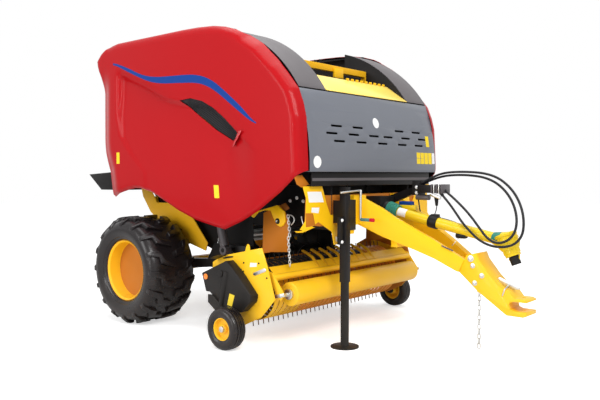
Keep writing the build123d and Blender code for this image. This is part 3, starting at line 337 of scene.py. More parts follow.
def brick(name, low, high, bevel):
    """A box between two (across, back, up) corners."""
    low, high = at(*low), at(*high)
    deselect()
    bpy.ops.mesh.primitive_cube_add(size=1, location=(low + high) / 2)
    piece = named(name)
    piece.scale = high - low
    settle(piece)
    soften(piece, bevel)
    return piece


def rod(name, start, end, radius, sides=24, bevel=0.0015, end_radius=None):
    """A round bar or cone between two points of the row frame."""
    start, end = Vector(start), Vector(end)
    run = end - start
    deselect()
    tip = radius if end_radius is None else end_radius
    bpy.ops.mesh.primitive_cone_add(vertices=sides, radius1=radius, radius2=tip, depth=run.length,
                                    location=(start + end) / 2)
    piece = named(name)
    piece.rotation_euler = run.to_track_quat("Z", "Y").to_euler()
    settle(piece)
    if bevel:
        soften(piece, bevel)
    else:
        shade(piece)
    return piece


def spun(name, profile, centre, steps=64):
    """A turned piece about a line along X: profile is (across from the centre, radius), closed."""
    deselect()
    bpy.ops.mesh.primitive_circle_add(vertices=len(profile), radius=1, fill_type="NOTHING")
    piece = named(name)
    for vertex, (across, radius) in zip(piece.data.vertices, profile):
        vertex.co = centre + Vector((across, 0, radius))
    edit_all()
    bpy.ops.mesh.spin(steps=steps, angle=2 * math.pi, center=centre, axis=(1, 0, 0))
    leave_edit()
    recalc(piece)
    shade(piece, 35)
    return piece


def tube_curve(name, points, radius):
    """A smooth NURBS curve with those control points, round in section."""
    curve = bpy.data.curves.new(name, "CURVE")
    curve.dimensions = "3D"
    curve.bevel_depth = radius
    curve.bevel_resolution = 6
    curve.resolution_u = 16
    curve.use_fill_caps = True
    spline = curve.splines.new("NURBS")
    spline.points.add(len(points) - 1)
    for target, point in zip(spline.points, points):
        target.co = (*point, 1)
    spline.order_u = 3
    spline.use_endpoint_u = True
    piece = bpy.data.objects.new(name, curve)
    bpy.context.scene.collection.objects.link(piece)
    return piece


def wire(name, points, radius):
    """A bent rod or wire, as a mesh."""
    piece = tube_curve(name, points, radius)
    piece.data.bevel_resolution = 3
    piece.data.resolution_u = 8
    choose(piece)
    bpy.ops.object.convert(target="MESH")
    choose(piece)
    bpy.ops.object.shade_smooth()
    return piece


def grid(name, columns, rows, place):
    """A sheet whose vertices go where place puts their (u, v), both from 0 to 1."""
    deselect()
    bpy.ops.mesh.primitive_grid_add(x_subdivisions=columns, y_subdivisions=rows, size=2)
    sheet = named(name)
    for vertex in sheet.data.vertices:
        vertex.co = place((vertex.co.x + 1) / 2, (vertex.co.y + 1) / 2)
    return sheet


def turn_out(sheet, side, number=0):
    """Flip a sheet unless the face of that number points to its side of the machine."""
    if (sheet.data.polygons[number].normal.x > 0) != (side > 0):
        sheet.data.flip_normals()


# Camera at the photograph's viewing angle: turns in degrees, sensor and lens in millimetres
CAMERA_PLACE = (-5.242, -4.5025, 1.477)
CAMERA_DOWN = 2.131
CAMERA_YAW = -49.337
SENSOR = 36
LENS = 41.07


def make_camera():
    turn = (math.radians(90 - CAMERA_DOWN), 0, math.radians(CAMERA_YAW))
    bpy.ops.object.camera_add(location=CAMERA_PLACE, rotation=turn)
    camera = bpy.context.object
    camera.data.sensor_width = SENSOR
    camera.data.lens = LENS
    bpy.context.scene.camera = camera


# Soft studio light on a pale floor: strengths of the world as light and as seen, and of the seen floor's glow
WORLD_LIGHT = 0.5
WORLD_SEEN = 1.0
FLOOR_GLOW = 0.55
# Name, place, target, size in metres and power in watts
SOFTBOXES = (
    ("key", (-4.5, -6.5, 6.5), (0, 0, 1.0), (4, 3), 500),
    ("top", (0.5, 0.0, 8.0), (0, 0, 1), (7, 7), 400),
    ("side", (-8.0, 2.5, 3.5), (0, 0.5, 1.2), (3, 4), 210),
    ("edge", (-8.6, -1.2, 2.3), (-1.1, -0.9, 1.9), (0.35, 3.0), 75),
)


def make_world():
    world = bpy.data.worlds.new("studio")
    bpy.context.scene.world = world
    world.use_nodes = True
    tree = world.node_tree
    rays = add(tree, "LightPath").outputs
    seen = compute(tree, "MAXIMUM", rays["Is Camera Ray"], rays["Is Transmission Ray"])
    seen = compute(tree, "MAXIMUM", seen, rays["Is Glossy Ray"])
    level = add(tree, "MapRange", To_Min=WORLD_LIGHT, To_Max=WORLD_SEEN, Value=seen)
    feed(tree, tree.nodes["Background"], Color=(1, 1, 1, 1), Strength=level.outputs["Result"])


def make_softbox(name, place, target, size, power):
    deselect()
    bpy.ops.object.light_add(type="AREA", location=place)
    lamp = bpy.context.object
    lamp.name = name
    lamp.data.shape = "RECTANGLE"
    lamp.data.size, lamp.data.size_y = size
    lamp.data.energy = power
    lamp.rotation_euler = (Vector(target) - Vector(place)).to_track_quat("-Z", "Y").to_euler()


def make_floor():
    deselect()
    bpy.ops.mesh.primitive_plane_add(size=60, location=(0, 0, 0))
    floor = named("floor")
    material = bpy.data.materials.new("pale floor")
    material.use_nodes = True
    tree = material.node_tree
    glow = compute(tree, "MULTIPLY", add(tree, "LightPath").outputs["Is Camera Ray"], FLOOR_GLOW)
    feed(tree, tree.nodes["Principled BSDF"], Base_Color=(0.86, 0.86, 0.86, 1), Roughness=0.9,
         Emission_Color=(1, 1, 1, 1), Emission_Strength=glow)
    floor.data.materials.append(material)


make_camera()
bpy.context.scene.view_settings.view_transform = "Standard"
make_world()
for softbox in SOFTBOXES:
    make_softbox(*softbox)
make_floor()

# Hydraulic hoses: the same routes as their solids, in (across, back, up)
HOSE_DIAMETER = 0.02
HOSES = (
    ("hose_outer", 2.312, (
        (0.1, -2.552, 1.41), (0.1, -2.636, 1.452), (0.095, -2.74, 1.488), (0.08, -2.861, 1.5),
        (0.06, -3.011, 1.5), (0.03, -3.17, 1.488), (0, -3.297, 1.452), (-0.03, -3.395, 1.392),
        (-0.058, -3.475, 1.315), (-0.082, -3.535, 1.21), (-0.1, -3.56, 1.1), (-0.112, -3.552, 1.0),
        (-0.122, -3.492, 0.928), (-0.128, -3.395, 0.902), (-0.124, -3.29, 0.908), (-0.108, -3.19, 0.945),
        (-0.084, -3.105, 1.003), (-0.055, -3.016, 1.073), (-0.02, -2.936, 1.152), (0.016, -2.852, 1.232),
        (0.048, -2.772, 1.296))),
    ("hose_inner", 2.198, (
        (0.135, -2.552, 1.406), (0.134, -2.636, 1.438), (0.124, -2.74, 1.464), (0.104, -2.861, 1.474),
        (0.078, -3.005, 1.472), (0.044, -3.15, 1.456), (0.008, -3.268, 1.418), (-0.026, -3.362, 1.358),
        (-0.058, -3.436, 1.282), (-0.09, -3.488, 1.192), (-0.12, -3.512, 1.098), (-0.146, -3.5, 1.01),
        (-0.16, -3.44, 0.95), (-0.162, -3.355, 0.934), (-0.15, -3.275, 0.972), (-0.124, -3.2, 1.046),
        (-0.092, -3.12, 1.122), (-0.056, -3.04, 1.185), (-0.01, -2.95, 1.242), (0.048, -2.854, 1.294),
        (0.094, -2.772, 1.334))),
)
for name, length, route in HOSES:
    points = [at(*point) for point in route]
    hose = tube_curve(f"{name}_line", points, HOSE_DIAMETER / 2)
    hose.data.materials.append(HOSE)
    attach(hose, "chassis")
    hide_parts(name)

# Finish of every carried-over node: one of its own, or that of its slot
SLOTS = {row["node"]: row["material_slot"] for row in frame["record"]["subparts"]}
for name, slot in SLOTS.items():
    materials = frame["nodes"][name].data.materials
    materials.clear()
    materials.append(NODE_FINISH.get(name, SLOT_FINISH[slot]))

# Side doors: a one-piece skin with a swept ridge under the stripe and a shallow hollow below it
DOOR_FACE = 1.12
DOOR_LIP = 1.005
DOOR_TOP = (
    (-2.128, 1.8), (-2.12, 1.94), (-2.09, 2.06), (-2.04, 2.18), (-1.94, 2.3), (-1.82, 2.43),
    (-1.64, 2.59), (-1.5, 2.672), (-1.36, 2.74), (-1.22, 2.782), (-1.07, 2.81), (-0.86, 2.825),
    (-0.65, 2.83), (-0.15, 2.83), (0.35, 2.83), (0.49, 2.81))
DOOR_FRONT = ((-2.14, 1.51), (-2.138, 1.6), (-2.128, 1.8))
DOOR_BACK = ((0.53, 1.24), (0.552, 1.34), (0.58, 1.5), (0.625, 1.6), (0.66, 1.7), (0.672, 1.78),
             (0.675, 1.85), (0.672, 2.1), (0.665, 2.5), (0.7, 2.67), (0.62, 2.742), (0.49, 2.81))
DOOR_FOOT = (
    (-2.14, 1.51), (-1.91, 1.33), (-1.66, 1.17), (-1.45, 1.07), (-1.24, 0.99), (-1.05, 1.022),
    (-0.85, 1.06), (-0.6, 1.14), (-0.36, 1.24), (-0.2, 1.305), (-0.03, 1.34), (0.06, 1.342),
    (0.18, 1.32), (0.36, 1.278), (0.53, 1.24))
STRIPE_TOP = (
    (-1.665, 1.887), (-1.539, 2.016), (-1.39, 2.13), (-1.236, 2.241), (-1.118, 2.319),
    (-0.954, 2.375), (-0.785, 2.395), (-0.473, 2.406), (-0.286, 2.416), (-0.092, 2.456),
    (0.16, 2.557), (0.384, 2.627))
STRIPE_FOOT = (
    (-1.665, 1.887), (-1.464, 2.014), (-1.313, 2.116), (-1.157, 2.221), (-1.036, 2.278),
    (-0.912, 2.31), (-0.608, 2.332), (-0.403, 2.343), (-0.213, 2.378), (-0.042, 2.439),
    (0.161, 2.519), (0.385, 2.611))
CREASE = ((-1.7, 1.66), (-1.425, 1.853), (-1.184, 2.038), (-0.982, 2.133), (-0.639, 2.171), (-0.435, 2.217),
          (-0.077, 2.376), (0.347, 2.538))
REAR_CREASE = ((1.5, -0.1), (1.671, 0.112), (1.862, 0.287), (2.068, 0.342), (2.6, 0.335))
# The hollow: its slope and step below the crease, where it starts and fades, and how it fills up lower down
SLOPE_DEEP = 0.012
HOLLOW_DEEP = 0.045
HOLLOW_STEP = 0.06
HOLLOW_START, HOLLOW_FADE, HOLLOW_END = -1.7, 0.45, 0.07
FILL_SHARE, FILL_START, FILL_HIGH = 0.9, 0.15, 0.75
# Edges: how wide and how deep each one rolls in, and how far the skin's rear sweeps inwards
FRONT_ROLL = (0.085, DOOR_FACE - DOOR_LIP)
TOP_ROLL = (0.09, 0.07)
FOOT_ROLL = (0.035, 0.03)
REAR_ROLL = (0.04, 0.03)
REAR_SWEEP, REAR_SWEEP_WIDE = 0.075, 0.24
REAR_SWEEP_TOP, REAR_SWEEP_FADE = 2.62, 0.3
STRIPE_LIFT = 0.0012


def walk(points, share):
    """The point at a share of a line's length."""
    lengths = [math.dist(a, b) for a, b in zip(points, points[1:])]
    left = share * sum(lengths)
    for (a, b), length in zip(zip(points, points[1:]), lengths):
        if left <= length:
            return tuple(p + (q - p) * left / length for p, q in zip(a, b))
        left -= length
    return points[-1]


def eased(table, x):
    """A table's reading averaged over a short span, so that its corners turn soft."""
    steps = (-0.09, -0.06, -0.03, 0, 0.03, 0.06, 0.09)
    return sum(along(table, x + step) for step in steps) / len(steps)


def hollow(back, up):
    """How far the door's face lies in from its outer plane."""
    ridge, crease = eased(STRIPE_FOOT, back), eased(CREASE, back)
    below = crease - up
    fade_front = smooth((back - HOLLOW_START) / HOLLOW_FADE)
    fade_back = smooth((along(REAR_CREASE, up) - back) / HOLLOW_END)
    slope = smooth((ridge - up) / max(ridge - crease, 0.05)) * SLOPE_DEEP
    step = smooth(below / HOLLOW_STEP) * HOLLOW_DEEP
    fill = 1 - FILL_SHARE * smooth((below - FILL_START) / FILL_HIGH)
    return (slope + step) * fill * fade_front * fade_back


def edge_roll(distance, width, deep):
    """A quarter-round fall towards an edge."""
    share = 1 - min(distance / width, 1.0)
    return deep * (1 - math.sqrt(max(1 - share * share, 0.0)))


def door_depth(back, up):
    """Distance of the skin's outer face from the middle of the machine."""
    front, rear, top, foot = door_gaps(back, up)
    x = DOOR_FACE - hollow(back, up)
    x -= edge_roll(front, *FRONT_ROLL)
    x -= edge_roll(top, *TOP_ROLL)
    x -= edge_roll(foot, *FOOT_ROLL)
    rearward = smooth((REAR_SWEEP_WIDE - rear) / REAR_SWEEP_WIDE)
    x -= REAR_SWEEP * rearward * smooth((REAR_SWEEP_TOP - up) / REAR_SWEEP_FADE)
    x -= edge_roll(rear, *REAR_ROLL)
    return max(x, DOOR_LIP)


def nearest(point, line):
    """Shortest distance from a point to a line of points."""
    best = 9.0
    for a, b in zip(line, line[1:]):
        ab = (b[0] - a[0], b[1] - a[1])
        size = ab[0] ** 2 + ab[1] ** 2
        share = ((point[0] - a[0]) * ab[0] + (point[1] - a[1]) * ab[1]) / size
        share = min(max(share, 0.0), 1.0)
        best = min(best, math.dist(point, (a[0] + share * ab[0], a[1] + share * ab[1])))
    return best


def door_gaps(back, up):
    """Distances of a point to the door's front, rear, top and foot."""
    point = (back, up)
    return (nearest(point, DOOR_FRONT[:2] + DOOR_TOP[:8]), nearest(point, DOOR_BACK),
            nearest(point, DOOR_TOP[5:]), nearest(point, DOOR_FOOT))


def skin_point(side, back, up, out=0.0):
    """A point on the door's outer face, or out from it."""
    return at(side * (door_depth(back, up) + out), back, up)


VENT = ((-0.651, 2.168), (-0.81, 2.178), (-0.974, 2.14), (-1.12, 2.07), (-1.249, 1.981), (-1.424, 1.843),
        (-1.336, 1.769), (-1.118, 1.873), (-0.86, 2.03))
VENT_TOP = VENT[:6]
VENT_FOOT = (VENT[0], VENT[8], VENT[7], VENT[6])
PANEL_IN, SLAT_IN = -0.016, -0.013
SLAT_R = 0.003
SLATS = 9


def vent_point(side, u, v, out):
    """A point of the vent, u along it and v from its foot to its top, out from the door's face."""
    back, up = ((1 - v) * a + v * b for a, b in zip(walk(VENT_FOOT, u), walk(VENT_TOP, u)))
    return skin_point(side, back, up, out)


def make_vent(side, name):
    """A dark panel behind the opening with thin slats along it."""
    panel = grid(f"vent_panel_{name}", 24, 6, lambda u, v: vent_point(side, u, v, PANEL_IN))
    turn_out(panel, side)
    modify(panel, "SOLIDIFY", thickness=0.002, offset=-1)
    bits = [panel]
    for number in range(1, SLATS):
        line = [vent_point(side, step / 8, number / SLATS, SLAT_IN) for step in range(1, 9)]
        bits.append(wire(f"slat_{name}_{number}", line, SLAT_R))
    vent = join(bits, f"slatted_vent_{name}")
    put_on(vent, PLASTIC, f"door_{name}")
    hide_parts(f"vent_{name}")


LIP = ((-1.435, 1.852), (-1.504, 1.849), (-1.358, 1.723), (-1.339, 1.76))


def make_lip(side, name):
    """The skin's raised fold at the front end of the vent, with a rolled edge, in a lighter red as a painted
    highlight.
    """
    out = (-0.002, 0.022, 0.022, -0.002)
    corners = [skin_point(side, *point, lift) for point, lift in zip(LIP, out)]
    fold = plate(f"vent_lip_{name}", corners, (-side * 0.004, 0, 0), 0.0015)
    roll = rod(f"lip_roll_{name}", corners[1], corners[2], 0.006, 16, 0.002)
    put_on(join([fold, roll], f"vent_fold_{name}"), LIT_GLOSS_RED, f"door_{name}")


def door_place(u, v):
    """A (back, height) point of the area between the door's four edges."""
    foot, top = walk(DOOR_FOOT, u), walk(DOOR_TOP, u)
    front, rear = walk(DOOR_FRONT, v), walk(DOOR_BACK, v)
    place = []
    for i in (0, 1):
        flat = (1 - v) * foot[i] + v * top[i] + (1 - u) * front[i] + u * rear[i]
        foot_bend = (1 - u) * DOOR_FOOT[0][i] + u * DOOR_FOOT[-1][i]
        top_bend = (1 - u) * DOOR_TOP[0][i] + u * DOOR_TOP[-1][i]
        place.append(flat - ((1 - v) * foot_bend + v * top_bend))
    return place


def stripe_place(u, v):
    """A (back, height) point of the stripe."""
    back = STRIPE_TOP[0][0] + u * (STRIPE_TOP[-1][0] - STRIPE_TOP[0][0])
    return back, (1 - v) * eased(STRIPE_FOOT, back) + v * eased(STRIPE_TOP, back)


def make_door(side, name):
    """The skin with its opening, the vent in it, the fold and the stripe."""
    skin = grid(f"door_skin_{name}", 132, 84, lambda u, v: skin_point(side, *door_place(u, v)))
    recalc(skin)
    turn_out(skin, side, len(skin.data.polygons) // 2)
    put_on(skin, RED, f"door_{name}")
    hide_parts(f"side_door_{name}")
    # The skin's inner face is black as painted shade
    skin.data.materials.append(BLACK)
    modify(skin, "SOLIDIFY", thickness=0.004, offset=-1, material_offset=1)
    cutter = side_plate(f"vent_cut_{name}", VENT, 1.0, 0.2, side, bevel=0)
    modify(skin, "BOOLEAN", operation="DIFFERENCE", object=cutter, solver="EXACT")
    bpy.data.objects.remove(cutter)
    shade(skin, 50)
    make_vent(side, name)
    make_lip(side, name)

    stripe = grid(f"door_stripe_{name}", 90, 4, lambda u, v: skin_point(side, *stripe_place(u, v), STRIPE_LIFT))
    turn_out(stripe, side, 4)
    modify(stripe, "SOLIDIFY", thickness=0.0008, offset=-1)
    shade(stripe, 50)
    put_on(stripe, BLUE, f"door_{name}")


for side, name in SIDES:
    make_door(side, name)


def door_note(number, middle, wide, tall, lean):
    """A small blank yellow label on the right door."""
    corners = [skin_point(-1, middle[0] + across * wide + up * lean, middle[1] + up * tall, STRIPE_LIFT)
               for across, up in ((-0.5, -0.5), (0.5, -0.5), (0.5, 0.5), (-0.5, 0.5))]
    note = plate(f"door_note_{number}", corners, (0.001, 0, 0), 0)
    put_on(note, NOTE, "door_right")


door_note(1, (0.313, 1.645), 0.05, 0.115, 0)
door_note(2, (-1.158, 1.325), 0.06, 0.115, 0.02)

# Main tyres: a rounded carcass with zigzag lugs that wrap over the shoulders
TYRE_CENTRE = 1.04
TYRE_R = 0.533
LUG_PAIRS = 16
CARCASS = (
    (0.214, 0.3), (0.232, 0.304), (0.246, 0.318), (0.25, 0.33), (0.257, 0.334), (0.268, 0.362),
    (0.275, 0.396), (0.272, 0.43), (0.262, 0.454), (0.243, 0.474), (0.215, 0.489), (0.16, 0.499),
    (0.08, 0.504), (0.0, 0.505))
LUG = ((0.01, -0.04), (0.118, -0.006), (0.128, 0.064), (0.2, 0.086), (0.272, 0.104), (0.272, 0.046),
       (0.186, 0.014), (0.176, -0.056), (0.01, -0.106))
CROWN_R, CROWN_HALF = 0.42, 0.2719
# The lugs' roots lie in the carcass, their crests fall towards the shoulders and taper outwards
LUG_SINK = 0.006
SHOULDER_START, SHOULDER_WIDE, SHOULDER_DROP = 0.19, 0.082, 0.062
LUG_TAPER = 0.08


def carcass_radius(across):
    """Radius of the bare carcass at a distance from the tyre's middle."""
    crown = [(a, r) for a, r in reversed(CARCASS) if r > CROWN_R]
    return along(crown, min(abs(across), CROWN_HALF))


def tyre_lug(hand, turn, centre, number):
    """One lug, wrapped on the carcass."""
    lug = plate(f"lug_{number}", [(across * hand, run, 0) for across, run in LUG], (0, 0, 1), bevel=0)
    edit_all()
    bpy.ops.mesh.subdivide(number_cuts=1)
    leave_edit()
    for vertex in lug.data.vertices:
        across, run, high = vertex.co
        base = carcass_radius(across) - LUG_SINK
        crest = TYRE_R - SHOULDER_DROP * smooth((abs(across) - SHOULDER_START) / SHOULDER_WIDE)
        radius = base + (crest - base) * high
        narrow = 1 - LUG_TAPER * high
        angle = turn + run * narrow / TYRE_R
        vertex.co = centre + Vector((across, radius * math.sin(angle), radius * math.cos(angle)))
    recalc(lug)
    soften(lug, 0.005, 35)
    return lug


def make_tyre(side, name):
    centre = at(side * TYRE_CENTRE, 0, TYRE_R)
    profile = list(CARCASS) + [(-a, r) for a, r in reversed(CARCASS[:-1])]
    bits = [spun(f"carcass_{name}", profile, centre, steps=96)]
    for number in range(LUG_PAIRS):
        for hand in (-1, 1):
            turn = 2 * math.pi * (number + 0.25 * hand) / LUG_PAIRS
            bits.append(tyre_lug(hand, turn, centre, number))
    tyre = join(bits, f"lugged_tyre_{name}")
    put_on(tyre, TYRE, f"wheel_{name}")
    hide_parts(f"tyre_{name}")


# Gauge wheel tyres: small ribbed tyres
GAUGE_R = 0.18
GAUGE_X = 1.3
GAUGE_BACK = -1.484
GAUGE_TREAD = (
    (0.058, 0.097), (0.07, 0.112), (0.075, 0.135), (0.071, 0.156), (0.06, 0.17), (0.048, 0.176),
    (0.04, 0.178), (0.038, 0.172), (0.033, 0.172), (0.031, 0.179), (0.014, 0.18), (0.012, 0.173),
    (0.007, 0.173), (0.005, 0.18))


def make_gauge_tyre(side, name):
    profile = list(GAUGE_TREAD) + [(-a, r) for a, r in reversed(GAUGE_TREAD)]
    tyre = spun(f"ribbed_tyre_{name}", profile, at(side * GAUGE_X, GAUGE_BACK, GAUGE_R))
    put_on(tyre, TYRE, f"gauge_wheel_{name}")
    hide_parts(f"gauge_tyre_{name}")


for side, name in SIDES:
    make_tyre(side, name)
    make_gauge_tyre(side, name)

# Rigid solids that keep their shape get their sharp edges rounded by these widths, on a merged copy
DRESSED = (
    (0.001, ("pickup_bands", "pickup_reel")),
    (0.0015, ("front_shield", "fenders", "top_plate", "gauge_rim_right", "gauge_rim_left", "safety_chain")),
    (0.002, ("pickup_frame", "rear_guard", "rim_right", "rim_left")),
    (0.003, ("main_frame", "side_frame", "gauge_arm_right", "gauge_arm_left", "windguard", "tailgate_frame",
             "hose_rack", "upper_frame")),
    (0.004, ("axle", "front_channel", "cross_rail", "jack_leg", "guard_roller", "tail_lamps")),
    (0.006, ("gearbox", "drawbar", "hitch", "jack_tube", "pickup_cover_right", "pickup_cover_left")),
)
FLAT_ANGLE = math.radians(0.6)


def dress(name, width):
    """A merged copy of a node with rounded edges, in its place."""
    node = frame["nodes"][name]
    piece = bpy.data.objects.new(f"{name}_finished", node.data.copy())
    bpy.context.scene.collection.objects.link(piece)
    choose(piece)
    edit_all()
    bpy.ops.mesh.remove_doubles(threshold=0.00001)
    bpy.ops.mesh.dissolve_limited(angle_limit=FLAT_ANGLE)
    leave_edit()
    soften(piece, width, 35)
    put_on(piece, node.data.materials[0], node["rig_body"])
    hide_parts(name)


for width, names in DRESSED:
    for name in names:
        dress(name, width)

# Labels and bolts are cast on a surface from the front or from the right side
FROM_FRONT = (0, 1, 0)
FROM_RIGHT = (1, 0, 0)
LABEL_LIFT = 0.001
LABEL_THICK = 0.0006
SHIELD_AHEAD = -2.1
# A bolt's washer, and its washer's width and its head's height as shares of its radius
WASHER_THICK = 0.003
WASHER_WIDE, HEAD_HIGH = 1.35, 0.7


def on_surface(target, corner, cast):
    """Where a line from half a metre ahead of a corner meets a finished piece."""
    start = Vector(corner) - 0.5 * Vector(cast)
    found, place, normal, face = bpy.data.objects[target].ray_cast(start, Vector(cast))
    return place if found else Vector(corner)


def decal(name, target, corners, cast, material, body="chassis"):
    """A blank label on a finished piece, each corner cast on its surface."""
    cast = Vector(cast)
    points = [on_surface(target, corner, cast) - LABEL_LIFT * cast for corner in corners]
    put_on(plate(name, points, LABEL_THICK * cast, 0), material, body)


def ring(across, up, radius, sides=28):
    """Corners of a round label in an upright plane ahead of the shield."""
    turns = [2 * math.pi * number / sides for number in range(sides)]
    outline = [(across + radius * math.cos(turn), up + radius * math.sin(turn)) for turn in turns]
    return facing(outline, SHIELD_AHEAD)


def card(low, high, back=SHIELD_AHEAD):
    """Corners of an upright label across the machine, from (across, height) to (across, height)."""
    return facing((low, (high[0], low[1]), high, (low[0], high[1])), back)


def stud(name, target, corner, cast, radius, material=STEEL, body="chassis"):
    """A hexagon bolt head on its washer, set on a finished piece."""
    place, out = on_surface(target, corner, cast), -Vector(cast)
    top = WASHER_THICK + HEAD_HIGH * radius
    washer = rod(f"{name}_washer", place, place + WASHER_THICK * out, radius * WASHER_WIDE, 20, 0.001)
    head = rod(f"{name}_head", place, place + top * out, radius, 6, 0.001)
    put_on(join([washer, head], name), material, body)


def cross_rod(name, side, inner, outer, back, up, radius, sides=24, bevel=0.0015):
    """A round bar across the machine between two distances from its middle."""
    return rod(name, at(side * inner, back, up), at(side * outer, back, up), radius, sides, bevel)


def second_finish(name, material, test):
    """Another finish for the faces of a dressed piece whose middle and normal pass a test."""
    piece = bpy.data.objects[f"{name}_finished"]
    piece.data.materials.append(material)
    for face in piece.data.polygons:
        if test(face.center, face.normal):
            face.material_index = len(piece.data.materials) - 1


def links(name, points, count, long, wide, wire_r):
    """A light chain along a line of (across, back, height) points."""
    bits = []
    for number in range(count):
        start, end = (at(*walk(points, (number + share) / count)) for share in (0, 1))
        deselect()
        bpy.ops.mesh.primitive_torus_add(major_segments=14, minor_segments=6, major_radius=wide / 2,
                                         minor_radius=wire_r, location=(start + end) / 2)
        loop = named(f"{name}_{number}")
        loop.scale = (long / wide, 1, 1)
        bpy.ops.object.transform_apply(location=False, rotation=False, scale=True)
        aim = (end - start).to_track_quat("X", "Z").to_matrix()
        turn = Matrix.Rotation(math.radians(90 * (number % 2) + 20), 3, "X")
        loop.rotation_euler = (aim @ turn).to_euler()
        settle(loop)
        bits.append(loop)
    chain = join(bits, name)
    choose(chain)
    bpy.ops.object.shade_smooth()
    return chain


# Wider bands with narrow slits, and door rails whose front ends stay under the doors
BAND_PITCH = 0.066
BAND_WIDER = 1.3
RAIL_INNER, RAIL_LOW, RAIL_FRONT = 0.955, 2.76, AXLE_Y - 1.28
RAIL_SHORTER = 0.03
RAIL_TOP = 2.768
for vertex in bpy.data.objects["pickup_bands_finished"].data.vertices:
    middle = round(vertex.co.x / BAND_PITCH) * BAND_PITCH
    vertex.co.x = middle + BAND_WIDER * (vertex.co.x - middle)
for vertex in bpy.data.objects["upper_frame_finished"].data.vertices:
    if abs(vertex.co.x) > RAIL_INNER and vertex.co.z > RAIL_LOW and vertex.co.y < RAIL_FRONT:
        vertex.co.y += RAIL_SHORTER
        vertex.co.z = min(vertex.co.z, RAIL_TOP)

# Finishes that change within a piece: as painted shade, rims yellow only at the lips with darker dishes, darker
# yellow for the frame behind the front plates, the pickup's inner plates, the jack tube's rear, the bands away
# from the right end and the windguard's tines, and black for the bands' and reel's upper rear; and the fenders'
# sides black
RIM_LIP_R = 0.262
GUIDE_OUT = 1.06
for name in ("rim_right", "rim_left"):
    second_finish(name, YELLOW, lambda c, n: math.hypot(c.y - AXLE_Y, c.z - TYRE_R) > RIM_LIP_R)
second_finish("main_frame", SHADED_YELLOW, lambda c, n: c.y > AXLE_Y - 2.08)
second_finish("pickup_frame", SHADED_YELLOW, lambda c, n: abs(c.x) < GUIDE_OUT or n.x * c.x < -0.5)
second_finish("pickup_bands", SOFT_SHADED_YELLOW, lambda c, n: c.x > -0.76)
second_finish("pickup_bands", DEEP_SHADED_YELLOW, lambda c, n: c.x > -0.56)
second_finish("windguard", SOFT_SHADED_YELLOW, lambda c, n: c.y > AXLE_Y - 1.77 and abs(c.x) < 1.0)
second_finish("jack_tube", SHADED_YELLOW, lambda c, n: c.y > AXLE_Y - 2.155)
second_finish("fenders", BLACK, lambda c, n: abs(n.x) > 0.9)
for name in ("pickup_bands", "pickup_reel"):
    second_finish(name, BLACK, lambda c, n: c.z > 0.59 and c.y > AXLE_Y - 1.66 and c.x < 0.5)

# Small parts of the chassis. Plates that face forward: name, finish, back, thickness, bevel and (across,
# height) outline; the corner arm and fold are darker yellow as painted shade
FRONT_PLATES = (
    ("corner_arm", SHADED_YELLOW, -2.073, 0.012, 0.002,
     ((-1.099, 1.468), (-1.005, 1.473), (-0.908, 1.392), (-1.005, 1.372), (-1.06, 1.396))),
    ("corner_fold", SHADED_YELLOW, -2.089, 0.003, 0.001,
     ((-0.975, 1.161), (-0.883, 1.156), (-0.854, 1.054), (-0.973, 1.045))),
    ("corner_tail", YELLOW, -2.088, 0.01, 0.002,
     ((-1.108, 1.021), (-1.021, 1.017), (-0.973, 1.051), (-0.854, 1.04), (-0.973, 1.012), (-1.013, 1.004),
      (-1.085, 1.008))),
    ("jack_bracket", YELLOW, -2.2, 0.012, 0.002,
     ((-0.519, 1.083), (-0.436, 1.083), (-0.463, 0.967), (-0.519, 0.967))),
)
# Blocks: name, finish, two (across, back, up) corners and bevel
BLOCKS = [
    ("jack_stay", YELLOW, (-0.528, -2.12, 1.088), (-0.49, -2.074, 1.242), 0.004),
    ("jack_mount", BLACK, (-0.668, -2.205, 0.885), (-0.613, -2.172, 1.115), 0.004),
    ("rail_bracket", YELLOW, (0.054, -1.585, 2.422), (0.197, -1.562, 2.514), 0.004),
    ("guard_clip", BLACK, (-0.02, -2.76, 1.1), (0.03, -2.69, 1.135), 0.006),
    ("guard_hook", BLACK, (-0.03, -3.03, 0.94), (0.03, -2.93, 0.985), 0.016),
    ("blue_band", BLUE, (0.06, -2.46, 1.202), (0.1, -2.32, 1.236), 0.006),
    ("yellow_cap", GUARD, (0.05, -2.49, 1.155), (0.11, -2.32, 1.203), 0.01),
]
# Round bars: name, finish, two (across, back, up) ends, radius, and where needed sides, bevel and end radius
BARS = (
    ("tube_boss", BROWN, (-0.533, -2.082, 1.172), (-0.533, -2.06, 1.172), 0.052, 32, 0.003),
    ("tube_pin", STEEL, (-0.475, -2.09, 1.19), (-0.492, -2.09, 1.1), 0.011),
    ("crank_grip", TEAL, (-0.41, -2.235, 1.087), (-0.41, -2.33, 1.087), 0.014),
    ("crank_knob", SIGNAL, (-0.41, -2.33, 1.087), (-0.41, -2.37, 1.087), 0.016),
    ("latch_pin", STEEL, (-0.104, -3.413, 0.575), (-0.104, -3.391, 0.515), 0.006),
    ("latch_bar", STEEL, (-0.104, -3.414, 0.572), (-0.028, -3.414, 0.6), 0.006),
    ("hose_strap", PIPE, (-0.158, -2.878, 0.884), (-0.134, -2.973, 0.846), 0.006),
    ("hook_rod", STEEL, (0, -2.955, 0.945), (-0.02, -2.9, 0.872), 0.003, 10),
    ("rack_fitting", STEEL, (0.03, -2.662, 1.305), (0.03, -2.76, 1.272), 0.014),
    ("grey_plug", PIPE, (0.07, -2.5, 1.275), (0.07, -2.63, 1.275), 0.024),
    ("parked_plug", BLACK, (0.05, -2.71, 1.285), (0.05, -2.713, 1.205), 0.021, 24, 0.0015, 0.011),
)
